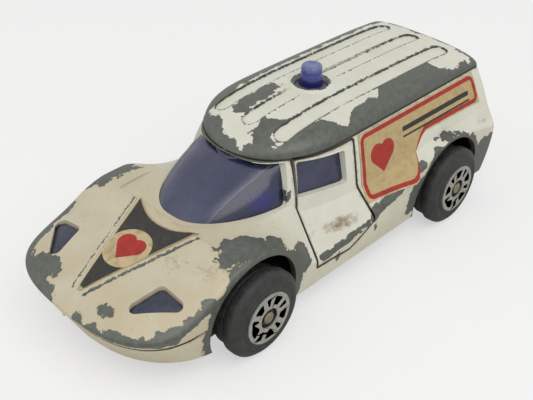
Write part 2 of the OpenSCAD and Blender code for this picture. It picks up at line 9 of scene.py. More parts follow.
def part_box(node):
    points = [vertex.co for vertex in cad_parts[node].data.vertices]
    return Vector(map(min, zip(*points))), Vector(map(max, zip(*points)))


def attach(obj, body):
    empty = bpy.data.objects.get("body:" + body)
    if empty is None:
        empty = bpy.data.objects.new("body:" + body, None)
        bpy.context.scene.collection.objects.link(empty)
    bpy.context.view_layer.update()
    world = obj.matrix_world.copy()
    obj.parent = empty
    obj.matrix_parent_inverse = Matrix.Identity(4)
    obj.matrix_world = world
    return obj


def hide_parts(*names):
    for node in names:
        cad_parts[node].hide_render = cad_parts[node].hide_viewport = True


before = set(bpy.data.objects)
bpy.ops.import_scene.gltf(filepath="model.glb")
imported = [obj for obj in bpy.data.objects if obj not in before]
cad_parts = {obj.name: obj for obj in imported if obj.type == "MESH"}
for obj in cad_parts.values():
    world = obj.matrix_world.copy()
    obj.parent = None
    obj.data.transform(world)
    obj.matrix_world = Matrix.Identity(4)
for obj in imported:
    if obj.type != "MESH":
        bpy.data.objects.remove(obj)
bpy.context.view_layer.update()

# A played-with toy ambulance: a die-cast zinc body whose cream enamel is chipped, stained and yellowed,
# with tinted windows, paper labels and black plastic wheels. Lengths are in millimetres until a mesh is made.
MM = 0.001


def place_of(node):
    """Lowest and highest corner of a solid, in millimetres."""
    low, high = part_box(node)
    return np.array(low) / MM, np.array(high) / MM


def middle_of(node):
    low, high = place_of(node)
    return (low + high) / 2


# Places and sizes that the solids give
FRONT_X, _, AXLE_Z = middle_of("front_axle")
REAR_X = middle_of("rear_axle")[0]
BEACON_X = middle_of("roof_beacon")[0]
BEACON_TOP = place_of("roof_beacon")[1][2]
TAIL_X = place_of("body_casting")[0][0]
NOSE_X = -TAIL_X
HUB_FACE = place_of("front_left_hub_trim")[1][1]
TYRE_R = place_of("front_left_wheel")[1][2] - AXLE_Z
WHEEL_W = HUB_FACE - place_of("front_left_wheel")[0][1]
HUB_R = place_of("front_left_hub_trim")[1][2] - AXLE_Z

# Driving sizes of the casting
ARCH_HALF = 18.9
ARCH_R = 10.4
SILL_Z = 4.2
SILL_HALF = 18.0
ROOF_Z = 32.6
WALL = 1.2
LIP_Z = 12.4
BONNET_Z = 19.5
CHIN_BACK = 4.25
SCREEN_BACK = 22.2
BROW_BACK = 36.6
PILLAR_BACK = 40.4
PILLAR_W = 2.2
PILLAR_RAKE = 0.8
DOOR_WINDOW_L = 10.2
GUTTER_Z = 28.4
GUTTER_HALF = 13.7
TAIL_LEAN = 0.1
CHANNEL_PITCH = 7.4
CHANNEL_W = 3.3
LINE_DEPTH = 0.35
LINE_W = 0.45
BEACON_R = 2.1
BEACON_HOLE_R = 3.4
GLASS_T = 0.9
GLASS_GAP = 0.1
LABEL_T = 0.15
LABEL_LIFT = 0.05

# Places that follow from the driving sizes
SCREEN_X = NOSE_X - SCREEN_BACK
BROW_X = NOSE_X - BROW_BACK
PILLAR_X = NOSE_X - PILLAR_BACK
CHIN_X = NOSE_X - CHIN_BACK
CHIN_START = FRONT_X + 7
LIP_START = FRONT_X + 13
CABIN_START = PILLAR_X - 1
ROOF_START = BROW_X - 16.6
MID_X = (FRONT_X + REAR_X) / 2
ARCH_TOP = AXLE_Z + ARCH_R
BELT_Z = SILL_Z + 9.8
DOOR_REAR_X = PILLAR_X - PILLAR_W - DOOR_WINDOW_L
WINDOW_TOP = GUTTER_Z - 1
WINDOW_SILL = BONNET_Z + 1
CHANNEL_FRONT_X = BROW_X - 8.2
CHANNEL_REAR_X = TAIL_X + 7.6
CHANNEL_ROWS = (-CHANNEL_PITCH, 0.0, CHANNEL_PITCH)
TINY = 0.06
CORNER = 0.12


# The casting's form, as sections across its length
def mix(a, b, t):
    return a + (b - a) * t


def ease(t):
    t = np.clip(t, 0, 1)
    return t * t * (3 - 2 * t)


def oval(t, power):
    t = np.clip(t, 0, 1)
    return (1 - t ** power) ** (1 / power)


def curve(points, x):
    """Smooth curve through (place, value) points that never overshoots them."""
    places, values = np.array(points, float).T
    x = np.clip(x, places[0], places[-1])
    rises = np.diff(values) / np.diff(places)
    ahead, behind = rises[1:], rises[:-1]
    turning = ahead * behind <= 0
    harmonic = 2 * ahead * behind / np.where(turning, 1, ahead + behind)
    slopes = np.concatenate([rises[:1], np.where(turning, 0, harmonic), rises[-1:]])
    i = np.searchsorted(places[1:-1], x)
    h = places[i + 1] - places[i]
    t = (x - places[i]) / h
    ends = values[i] * (1 + 2 * t) * (1 - t) ** 2 + values[i + 1] * t * t * (3 - 2 * t)
    return ends + h * t * (1 - t) * (slopes[i] * (1 - t) - slopes[i + 1] * t)


SHOULDER_HEIGHT = (
    (TAIL_X, BELT_Z + 2.2),
    (REAR_X - ARCH_R, BELT_Z + 3.6),
    (REAR_X, ARCH_TOP + 0.7),
    (REAR_X + ARCH_R, BELT_Z + 2.8),
    (MID_X - 2, BELT_Z - 1.6),
    (MID_X + 5, BELT_Z - 3.6),
    (MID_X + 11.5, BELT_Z - 4.4),
    (FRONT_X - ARCH_R, BELT_Z + 1.2),
    (FRONT_X - 6, ARCH_TOP - 0.7),
    (FRONT_X - 2, ARCH_TOP + 0.7),
    (FRONT_X + 2, ARCH_TOP + 0.7),
    (FRONT_X + 6, ARCH_TOP - 0.2),
    (FRONT_X + ARCH_R, BELT_Z + 2.3),
    (FRONT_X + 14, BELT_Z + 0.8),
    (FRONT_X + 18, mix(LIP_Z, BELT_Z, 0.75)),
    (NOSE_X, LIP_Z),
)
SHOULDER_HALF = (
    (TAIL_X, ARCH_HALF + 0.6),
    (REAR_X, ARCH_HALF + 0.4),
    (MID_X - 2, ARCH_HALF + 0.5),
    (MID_X + 11.5, ARCH_HALF - 0.5),
    (FRONT_X, ARCH_HALF),
    (LIP_START, ARCH_HALF + 0.1),
)
WAIST_HEIGHT = (
    (TAIL_X, BONNET_Z + 1.2),
    (MID_X - 2, BONNET_Z - 1.5),
    (CABIN_START - 2.5, BONNET_Z - 2.2),
    (CABIN_START + 1, BONNET_Z + 0.2),
    (CABIN_START + 5, BONNET_Z + 0.5),
    (SCREEN_X, BONNET_Z),
)
WAIST_HALF = (
    (TAIL_X, GUTTER_HALF + 3.5),
    (MID_X - 2, GUTTER_HALF + 2.1),
    (CABIN_START, GUTTER_HALF - 1.2),
)
BONNET_HEIGHT = (
    (SCREEN_X, BONNET_Z),
    (FRONT_X + 12.5, mix(BONNET_Z, LIP_Z, 0.27)),
    (NOSE_X - 3, mix(BONNET_Z, LIP_Z, 0.7)),
    (NOSE_X, LIP_Z + 0.3),
)
ROOF_HEIGHT = (
    (TAIL_X, ROOF_Z - 1.9),
    (TAIL_X + 3, ROOF_Z - 1),
    (REAR_X, ROOF_Z - 0.2),
    (BEACON_X, ROOF_Z),
    (BROW_X - 9.5, ROOF_Z - 0.7),
    (BROW_X - 4, ROOF_Z - 2),
    (BROW_X - 1.3, ROOF_Z - 3.4),
    (BROW_X, GUTTER_Z - 0.8),
)
GUTTER_HEIGHT = ((TAIL_X, GUTTER_Z), (ROOF_START, GUTTER_Z), (BROW_X, GUTTER_Z - 0.9))
DECK_POWER = ((CABIN_START, 1), (FRONT_X - 7, 1.4), (FRONT_X, 2.8), (LIP_START, 4))
DECK_HUMP = ((CABIN_START, 0), (FRONT_X - 7, 0), (FRONT_X, 0.4), (LIP_START, 0))
WALL_POWER = ((CABIN_START - 8, 1.1), (CABIN_START, 1.45), (BROW_X, 2.3), (SCREEN_X, 2))
FLANK_POWER = ((FRONT_X, 1.8), (CHIN_START, 1))
ROOF_POWER = 2.7
SCREEN_BULGE = 0.5


def plan_half(x, t, inset):
    """Half-width of the flank at station x, where t runs from the sill (0) to the shoulder (1)."""
    start = mix(CHIN_START, LIP_START, t)
    end = mix(CHIN_X, NOSE_X, t) - 1.6 * inset
    along = np.minimum(x, start)
    swell = 1 - (1 - t) ** curve(FLANK_POWER, along)
    half = mix(SILL_HALF, curve(SHOULDER_HALF, along), swell) - inset
    return half * oval((x - start) / (end - start), mix(2.15, 2.8, t))


def waist(x):
    """Half-width and height where the cabin wall leaves the deck."""
    ahead = x > SCREEN_X
    cabin = np.maximum(0.4, (GUTTER_HALF - 1.2) * oval((x - CABIN_START) / (SCREEN_X - CABIN_START), 1.9))
    half = np.where(x < CABIN_START, curve(WAIST_HALF, x), cabin)
    return np.where(ahead, 3, half), np.where(ahead, curve(BONNET_HEIGHT, x), curve(WAIST_HEIGHT, x))


def gutter(x):
    """Half-width and height of the roof's edge, which runs into the middle of the windscreen."""
    half, height = waist(x)
    s = np.clip((x - BROW_X) / (SCREEN_X - BROW_X), 0, 1)
    screen = mix(GUTTER_Z - 0.9, BONNET_Z, s) + 4 * SCREEN_BULGE * s * (1 - s)
    roof_half = np.maximum(0.3, GUTTER_HALF * oval((x - ROOF_START) / (BROW_X - ROOF_START), 2.2))
    on_screen = x > BROW_X
    ahead = x > SCREEN_X
    half = np.where(ahead, 1.5, np.where(on_screen, np.minimum(1.2, half / 2), roof_half))
    on_glass = np.where(on_screen, np.maximum(screen, height + TINY), curve(GUTTER_HEIGHT, x))
    return half, np.where(ahead, curve(BONNET_HEIGHT, x), on_glass)


def flank_point(x, t, inset):
    drop = 4 * max(inset, 0) * (1 - t)
    return np.maximum(0.2, plan_half(x, t, inset)), mix(SILL_Z - drop, curve(SHOULDER_HEIGHT, x) - inset, t)


def deck_point(x, u, inset):
    outer, low = flank_point(x, 1.0, inset)
    half, height = waist(x)
    inner = np.minimum(half, outer * 0.9) - np.where(half > 2 * inset, inset * 0.6, 0)
    lift = curve(DECK_HUMP, x) * np.sin(np.pi * u)
    return mix(inner, outer, u), mix(height - inset, low, u ** curve(DECK_POWER, x)) + lift


def wall_point(x, v, inset):
    outer, low = deck_point(x, 0.0, inset)
    half, height = gutter(x)
    inner = np.minimum(half - np.where(half > 2 * inset, inset, 0), outer * 0.97)
    top = np.maximum(height - 0.8 * inset, low + TINY)
    bend = 2 / curve(WALL_POWER, x)
    across = np.clip(np.cos(np.pi / 2 * v), 0, 1) ** bend
    return mix(inner, outer, across), mix(low, top, np.sin(np.pi / 2 * v) ** bend)


def roof_point(x, v, inset):
    half, low = wall_point(x, 1.0, inset)
    crown = np.where(x > BROW_X, gutter(x)[1] + TINY / 2, curve(ROOF_HEIGHT, x)) - inset
    bend = 2 / ROOF_POWER
    across = np.clip(np.cos(np.pi / 2 * v), 0, 1) ** bend
    return half * across, low + np.maximum(TINY / 2, crown - low) * np.sin(np.pi / 2 * v) ** bend


def half_section(x, inset, steps):
    """Points of half a section from the sill to the middle of the top, for a column of stations x."""
    flank, deck, wall, roof = (np.linspace(0, 1, n)[None, :] for n in steps)
    low = np.minimum(1 - CORNER, np.clip((x - CHIN_X + 1.6 * inset) / CHIN_BACK, 0, 1))
    turn = np.linspace(0, 1, 7)[None, 1:-1]
    from_flank = flank_point(x, 1 - CORNER / 2, inset)
    over = flank_point(x, 1.0, inset)
    to_deck = deck_point(x, 1 - CORNER / 2, inset)
    rounded = [a * (1 - turn) ** 2 + 2 * b * turn * (1 - turn) + c * turn ** 2
               for a, b, c in zip(from_flank, over, to_deck)]
    stretches = (
        flank_point(x, mix(low, 1 - CORNER / 2, flank), inset),
        rounded,
        deck_point(x, mix(1 - CORNER / 2, 0, deck[:, :-1]), inset),
        wall_point(x, wall[:, :-1], inset),
        roof_point(x, roof, inset),
    )
    return np.concatenate([np.stack(np.broadcast_arrays(*s), axis=-1) for s in stretches], axis=1)


def lean_x(x, z):
    """The tail leans forward above the belt."""
    return x + ease((REAR_X - 4 - x) / 8) * TAIL_LEAN * np.maximum(0, z - BELT_Z)


# Mesh making
def mesh_object(name, points, faces, merge=True):
    """A closed mesh of the given points in millimetres, with its faces outward."""
    mesh = bpy.data.meshes.new(name)
    mesh.from_pydata((np.asarray(points, float) * MM).tolist(), [], faces)
    work = bmesh.new()
    work.from_mesh(mesh)
    if merge:
        bmesh.ops.remove_doubles(work, verts=work.verts, dist=0.002 * MM)
        bmesh.ops.dissolve_degenerate(work, edges=work.edges, dist=0.001 * MM)
    bmesh.ops.recalc_face_normals(work, faces=work.faces)
    work.to_mesh(mesh)
    work.free()
    made = bpy.data.objects.new(name, mesh)
    bpy.context.scene.collection.objects.link(made)
    return made


def grid_faces(rows, columns, start=0, closed=False):
    """Quads of a grid of points stored row by row."""
    last = columns if closed else columns - 1
    return [(start + r * columns + c, start + r * columns + (c + 1) % columns,
             start + (r + 1) * columns + (c + 1) % columns, start + (r + 1) * columns + c)
            for r in range(rows - 1) for c in range(last)]


def loft(name, stations, inset, steps, end_columns=24, rear_round=0.0):
    """Solid through the casting's sections at the given stations, which run from tail to nose."""
    x = np.asarray(stations, float)[:, None]
    half = half_section(x, inset, steps)
    if rear_round:
        gap = np.clip(1 - (x - TAIL_X) / rear_round, 0, 1)
        pull = rear_round * (1 - np.sqrt(1 - gap ** 2))[..., None]
        above = np.clip(half[..., 1:] - SILL_Z, 0, None) / (ROOF_Z - SILL_Z)
        half = half - pull * np.concatenate([np.clip(half[..., :1] / GUTTER_HALF, 0, 1), above], axis=-1)
    ring = np.concatenate([half, half[:, -2::-1] * (-1, 1)], axis=1)
    n = ring.shape[1]
    points = np.stack([lean_x(x, ring[..., 1]), ring[..., 0], ring[..., 1]], axis=-1)
    faces = grid_faces(len(stations), n, closed=True)
    everything = [points.reshape(-1, 3)]
    count = len(everything[0])
    rows = n // 2
    across = np.linspace(0, 1, end_columns)[None, 1:-1, None]
    for end, first in ((points[0], 0), (points[-1], count - n)):
        inner = mix(end[1:rows, None], end[::-1][1:rows, None], across)
        width = inner.shape[1]
        grid = [[first + r + 1, *range(count + r * width, count + (r + 1) * width), first + n - 2 - r]
                for r in range(rows - 1)]
        faces += [(a, b, d, c) for low, high in zip(grid, grid[1:])
                  for a, b, c, d in zip(low, low[1:], high, high[1:])]
        faces += [(first, *grid[0], first + n - 1), (first + rows, *grid[-1])]
        everything.append(inner.reshape(-1, 3))
        count += inner.shape[0] * width
    return mesh_object(name, np.concatenate(everything), faces, merge=False)


def prism(name, outline, along, start, end):
    """Extrusion of a flat outline along one axis; its other two axes keep their order."""
    outline = np.asarray(outline, float)
    n = len(outline)
    layers = [np.insert(outline, along, level, axis=1) for level in (start, end)]
    faces = grid_faces(2, n, closed=True) + [tuple(range(n)), tuple(range(n, 2 * n))]
    return mesh_object(name, np.concatenate(layers), faces)


def revolve(name, profile, centre, along=2, sides=64):
    """Solid turned from (radius, height) points about an axis through centre."""
    profile = np.asarray(profile, float)
    angle = np.linspace(0, 2 * np.pi, sides, endpoint=False)
    ring = np.stack([np.cos(angle), np.sin(angle)], axis=-1)
    flat = profile[:, None, :1] * ring[None]
    height = np.broadcast_to(profile[:, None, 1:], flat.shape[:2] + (1,))
    points = np.insert(flat, along, height[..., 0], axis=2) + np.asarray(centre)
    n = len(profile)
    faces = grid_faces(n, sides, closed=True)
    if profile[0, 0] > 0:
        faces += [(c, (c + 1) % sides, (n - 1) * sides + (c + 1) % sides, (n - 1) * sides + c)
                  for c in range(sides)]
    return mesh_object(name, points.reshape(-1, 3), faces)


def rounded_outline(corners, radius, steps=8):
    """Outline at a radius round corner centres, given anticlockwise; hollow corners stay sharp."""
    corners = np.array(corners, float)
    edges = np.roll(corners, -1, axis=0) - corners
    outward = np.arctan2(-edges[:, 0], edges[:, 1])
    points = []
    for k, centre in enumerate(corners):
        turn = (outward[k] - outward[k - 1]) % (2 * np.pi)
        if turn > 1.01 * np.pi:
            angle = outward[k - 1] + turn / 2 - np.pi
            reach = radius / math.cos(turn / 2 - np.pi)
            points.append(centre + reach * np.array((math.cos(angle), math.sin(angle))))
            continue
        for angle in outward[k - 1] + turn * np.linspace(0, 1, steps + 1):
            points.append(centre + radius * np.array((math.cos(angle), math.sin(angle))))
    return np.array(points)


def filleted(points, radius, steps=5, closed=True):
    """A polyline with its corners rounded."""
    points = np.array(points, float)
    made = []
    for k, corner in enumerate(points):
        if not closed and k in (0, len(points) - 1):
            made.append(corner)
            continue
        before, after = points[k - 1] - corner, points[(k + 1) % len(points)] - corner
        reach = [min(radius, 0.45 * np.linalg.norm(v)) for v in (before, after)]
        first, last = (corner + v / np.linalg.norm(v) * r for v, r in zip((before, after), reach))
        t = np.linspace(0, 1, steps)[:, None]
        made.extend(first * (1 - t) ** 2 + 2 * corner * t * (1 - t) + last * t ** 2)
    return np.array(made)


def take_mesh(target):
    """Turns what the modifiers make into the object's own mesh."""
    graph = bpy.context.evaluated_depsgraph_get()
    made = bpy.data.meshes.new_from_object(target.evaluated_get(graph))
    target.modifiers.clear()
    target.data = made
    made.name = target.name
    return target


def combine(target, operation, *tools):
    """Joins, cuts or intersects a solid with others, which are used up."""
    for tool in tools:
        modifier = target.modifiers.new(operation, "BOOLEAN")
        modifier.solver = "MANIFOLD"
        modifier.operation = operation
        modifier.object = tool
        take_mesh(target)
        bpy.data.objects.remove(tool)
    return target


def smooth(target, angle=32):
    """Smooth shading with creases where faces meet sharper than the angle."""
    target.data.shade_smooth()
    target.data.set_sharp_from_angle(angle=math.radians(angle))
    return target


def corners_of(target):
    """Every vertex of an object, in millimetres."""
    flat = np.empty(len(target.data.vertices) * 3)
    target.data.vertices.foreach_get("co", flat)
    return flat.reshape(-1, 3) / MM


def keep_values(target, **fields):
    """Stores one number per vertex under each name, for the materials to read."""
    for name, values in fields.items():
        attribute = target.data.attributes.new(name, "FLOAT", "POINT")
        attribute.data.foreach_set("value", np.asarray(values, np.float32))
    return target


def distance_to_line(points, line):
    """Distance from each point to a polyline."""
    best = np.full(len(points), 1e9)
    for a, b in zip(line[:-1], line[1:]):
        span = b - a
        t = np.clip((points - a) @ span / max(span @ span, 1e-9), 0, 1)
        best = np.minimum(best, np.linalg.norm(points - a - t[:, None] * span, axis=1))
    return best


def inside_outline(points, outline):
    """Signed distance to a closed flat outline, positive inside."""
    line = np.concatenate([outline, outline[:1]])
    a, b = line[:-1], line[1:]
    x, y = points[:, :1], points[:, 1:]
    crossing = (a[:, 1] > y) != (b[:, 1] > y)
    rise = np.where(b[:, 1] == a[:, 1], 1, b[:, 1] - a[:, 1])
    at = a[:, 0] + (y - a[:, 1]) / rise * (b[:, 0] - a[:, 0])
    odd = (crossing & (x < at)).sum(axis=1) % 2
    return np.where(odd == 1, 1, -1) * distance_to_line(points, line)


# The casting
def body_stations():
    return np.concatenate([
        TAIL_X + 1.4 * (1 - np.cos(np.linspace(0, np.pi / 2, 8))),
        np.arange(TAIL_X + 1.9, ROOF_START, 0.5),
        np.arange(ROOF_START, BROW_X - 4, 0.4),
        mix(BROW_X - 4, BROW_X, np.sin(np.linspace(0, np.pi / 2, 16))),
        mix(BROW_X + 0.15, SCREEN_X - 0.05, np.sin(np.linspace(0, np.pi / 2, 30))),
        np.arange(SCREEN_X + 0.3, CHIN_X - 0.2, 0.45),
        mix(CHIN_X, NOSE_X - 0.04, np.sin(np.linspace(0, np.pi / 2, 22))),
    ])


def bonnet_at(x, y):
    """Height of the bonnet."""
    outer, low = flank_point(x, 1.0, 0)
    half, height = waist(x)
    u = np.clip((np.abs(y) - half) / (outer - half), 0, 1)
    return mix(height, low, u ** curve(DECK_POWER, x)) + curve(DECK_HUMP, x) * np.sin(np.pi * u)


def side_at(x, z):
    """Half-width of the body side at a height."""
    half, height = waist(x)
    top_half, top = gutter(x)
    outer, low = curve(SHOULDER_HALF, x), curve(SHOULDER_HEIGHT, x)
    wall = mix(top_half, half, oval((z - height) / (top - height), curve(WALL_POWER, x)))
    return np.where(z > height, wall, mix(outer, half, (z - low) / (height - low)))


LABEL_HALF = 7.5
LABEL_REAR = SCREEN_X - 1.2
LABEL_TIP = NOSE_X - 3.4
RIDGE_W = 1.1
RIDGE_H = 0.25


def bonnet_label_point(u, v):
    """Point of the bonnet label, with u from its rear edge to its tip and v across it."""
    x = mix(LABEL_REAR + 2.6 * (1 - v * v), LABEL_TIP, u)
    y = v * mix(LABEL_HALF, 0.4, u)
    return x, y, bonnet_at(x, y)


def door_outline(shrink):
    front, rear, foot = PILLAR_X - 1.5, DOOR_REAR_X - 2.9, SILL_Z + 3.8
    corners = ((rear + 0.8, GUTTER_Z - 1), (rear + 0.8, BELT_Z + 5), (rear - 0.8, foot + 4),
               (rear + 5, foot + 0.6), (front - 0.8, foot + 0.6), (front - 0.8, GUTTER_Z - 1))
    return rounded_outline(corners, 0.8 - shrink)


def door_window_outline(grow):
    front, rear, r = PILLAR_X - PILLAR_W - 0.6, DOOR_REAR_X + 0.6, 0.6
    corners = ((rear - 0.2, WINDOW_SILL - 0.3 + r), (front + 0.2, WINDOW_SILL + r),
               (front, WINDOW_TOP - r), (rear, WINDOW_TOP - 0.6 - r))
    return rounded_outline(corners, r + grow)


LAMP_POINTS = ((NOSE_X - 6.7, 10.6), (NOSE_X - 11.2, 15.2), (NOSE_X - 11.2, 11.6))
LAMP_R = 1.1


def lamp_outline(side, grow=0.0):
    outline = rounded_outline(LAMP_POINTS, LAMP_R + grow)
    return outline if side > 0 else (outline * (1, -1))[::-1]


def channel_outline(y, grow=0.0):
    ends = ((CHANNEL_REAR_X, y), (CHANNEL_FRONT_X + CHANNEL_W / 2 - 0.06 * abs(y), y))
    return rounded_outline(ends, CHANNEL_W / 2 + grow, steps=16)


SECTION_STEPS = (26, 30, 28, 34)
MARKER_X = TAIL_X + 5.4
MARKER_Z = BELT_Z + 4.4


def marker_lamp(side):
    """Small raised lamp on the tail's side: a rounded frame round a sunk face."""
    outline = rounded_outline(((MARKER_X - 0.8, MARKER_Z - 0.6), (MARKER_X + 0.8, MARKER_Z - 0.6),
                               (MARKER_X + 0.8, MARKER_Z + 0.6), (MARKER_X - 0.8, MARKER_Z + 0.6)), 0.55)
    window = (outline - (MARKER_X, MARKER_Z)) * 0.55 + (MARKER_X, MARKER_Z)
    out = float(side_at(np.array(MARKER_X), np.array(MARKER_Z))) + 0.3
    ends = sorted((side * (out - 1.4), side * out))
    cut = sorted((side * (out - 0.25), side * (out + 1)))
    return combine(prism("marker", outline, 1, *ends), "DIFFERENCE", prism("marker_cut", window, 1, *cut))


def bonnet_ridge(side):
    """Low ridge along one edge of the bonnet label."""
    u = np.linspace(0.0, 1.0, 40)
    x, y, _ = bonnet_label_point(u, 1.0)
    y = y + RIDGE_W * 0.75
    z = bonnet_at(np.maximum(x, SCREEN_X + TINY), y)
    half = RIDGE_W / 2 * np.sqrt(np.clip(1 - (2 * u - 1) ** 16, 0.02, 1))
    across = filleted(((-1, -0.7), (-0.6, RIDGE_H), (0.6, RIDGE_H), (1, -0.7)), 0.35, closed=False)
    points = np.stack([np.broadcast_to(x[:, None], (40, len(across))),
                       side * (y[:, None] + half[:, None] * across[None, :, 0]),
                       z[:, None] + across[None, :, 1]], axis=-1)
    n = len(across)
    faces = grid_faces(40, n, closed=True) + [tuple(range(n)), tuple(range(39 * n, 40 * n))]
    return mesh_object("ridge", points.reshape(-1, 3), faces)


def make_body():
    stations = body_stations()
    body = loft("body_shell", stations, 0.0, SECTION_STEPS, rear_round=1.4)
    ring = ((0, ROOF_Z - 0.9), (BEACON_HOLE_R + 1.5, ROOF_Z - 0.9), (BEACON_HOLE_R + 0.9, ROOF_Z + 0.02),
            (BEACON_HOLE_R + 0.4, ROOF_Z + 0.3), (0, ROOF_Z + 0.3))
    spot = (BEACON_X, 0, 0)
    sunk = [prism("channel", channel_outline(y), 2, GUTTER_Z + 1, ROOF_Z + 5) for y in CHANNEL_ROWS]
    door = prism("door", door_outline(0), 1, -ARCH_HALF - 5, ARCH_HALF + 5)
    sunk.append(combine(door, "DIFFERENCE",
                        prism("door_inner", door_outline(LINE_W), 1, -ARCH_HALF - 6, ARCH_HALF + 6)))
    groove = np.array(((FRONT_X + ARCH_R + 1, -25), (60, -25), (60, 25), (FRONT_X + ARCH_R + 1, 25)))
    sunk.append(prism("nose_line", groove, 2, LIP_Z - 1.9, LIP_Z - 1.9 + LINE_W))
    lines = combine(sunk[0], "UNION", *sunk[1:])
    combine(lines, "DIFFERENCE", loft("skin", stations, LINE_DEPTH, SECTION_STEPS))
    frames = prism("frame", door_window_outline(0.55), 1, -25, 25)
    combine(frames, "INTERSECT", loft("bead", stations, -0.14, SECTION_STEPS))
    combine(body, "UNION", *(marker_lamp(s) for s in (1, -1)), *(bonnet_ridge(s) for s in (1, -1)))
    combine(body, "DIFFERENCE", lines)
    combine(body, "UNION", frames, revolve("ring", filleted(ring, 0.5, closed=False), spot))
    inner = np.concatenate([
        [TAIL_X + WALL], np.linspace(TAIL_X + 5, CABIN_START - 4, 24),
        np.linspace(CABIN_START - 2, BROW_X - 0.6, 16), np.linspace(BROW_X + 0.4, SCREEN_X - 0.6, 18),
        np.linspace(SCREEN_X + 1, CHIN_X - 2 * WALL, 22)])
    half = GUTTER_HALF - 0.9
    screen = ((PILLAR_X + PILLAR_RAKE, BONNET_Z + 0.4), (SCREEN_X - 8, BONNET_Z + 0.3),
              (SCREEN_X - 0.4, BONNET_Z + 0.1), (SCREEN_X + 2, GUTTER_Z - 1.5),
              (PILLAR_X - PILLAR_RAKE, GUTTER_Z - 0.9))
    rear = rounded_outline(((-8.4, WINDOW_SILL + 1.4), (8.4, WINDOW_SILL + 1.4),
                            (8.4, WINDOW_TOP - 0.6), (-8.4, WINDOW_TOP - 0.6)), 1.0)
    cuts = [
        loft("cavity", inner, WALL, (8, 12, 14, 14)),
        prism("screen_cut", filleted(screen, 0.5), 1, -half, half),
        prism("door_window_cut", door_window_outline(0), 1, -25, 25),
        prism("rear_window_cut", rear, 0, TAIL_X - 1, TAIL_X + 7),
        revolve("beacon_hole", ((0, ROOF_Z - 4), (BEACON_HOLE_R, ROOF_Z - 4), (BEACON_HOLE_R, ROOF_Z + 4),
                                (0, ROOF_Z + 4)), spot),
    ]
    for side in (1, -1):
        cuts.append(prism("lamp_cut", lamp_outline(side), 2, LIP_Z - 0.6, LIP_Z + 12))
        for x in (FRONT_X, REAR_X):
            ends = sorted((side * (ARCH_HALF - 5), side * (ARCH_HALF + 5)))
            arch = ((0, ends[0]), (ARCH_R, ends[0]), (ARCH_R, ends[1]), (0, ends[1]))
            cuts.append(revolve("arch_cut", arch, (x, 0, AXLE_Z), along=1, sides=96))
    return combine(body, "DIFFERENCE", *cuts)


# Materials
def linear(hex_colour):
    """An sRGB hex colour as linear RGBA."""
    parts = [int(hex_colour[i:i + 2], 16) / 255 for i in (1, 3, 5)]
    return [c / 12.92 if c <= 0.04045 else ((c + 0.055) / 1.055) ** 2.4 for c in parts] + [1.0]


def add_node(tree, kind, inputs=None, out=0, **settings):
    """Adds a node with its settings and links, and returns one of its outputs."""
    made = tree.nodes.new(kind)
    for name, value in settings.items():
        setattr(made, name, value)
    for key, value in (inputs or {}).items():
        if isinstance(value, bpy.types.NodeSocket):
            tree.links.new(value, made.inputs[key])
        else:
            made.inputs[key].default_value = value
    return made.outputs[out] if made.outputs else None


def new_material(name):
    """An empty material with its tree and its Object coordinates."""
    material = bpy.data.materials.new(name)
    material.use_nodes = True
    material.node_tree.nodes.clear()
    return material, material.node_tree, add_node(material.node_tree, "ShaderNodeTexCoord", out="Object")


def per_mm(size):
    """Texture scale of a pattern whose grain is this many millimetres."""
    return 1 / (size * MM)


# Grain in millimetres, detail and roughness of the enamel's noises: wander and teeth of worn edges,
# flecks, stains and yellowed blotches
ENAMEL_NOISES = ((3.2, 2, 0.5), (0.9, 4, 0.65), (0.55, 3, 0.6), (1.1, 5, 0.7), (7, 4, 0.6))


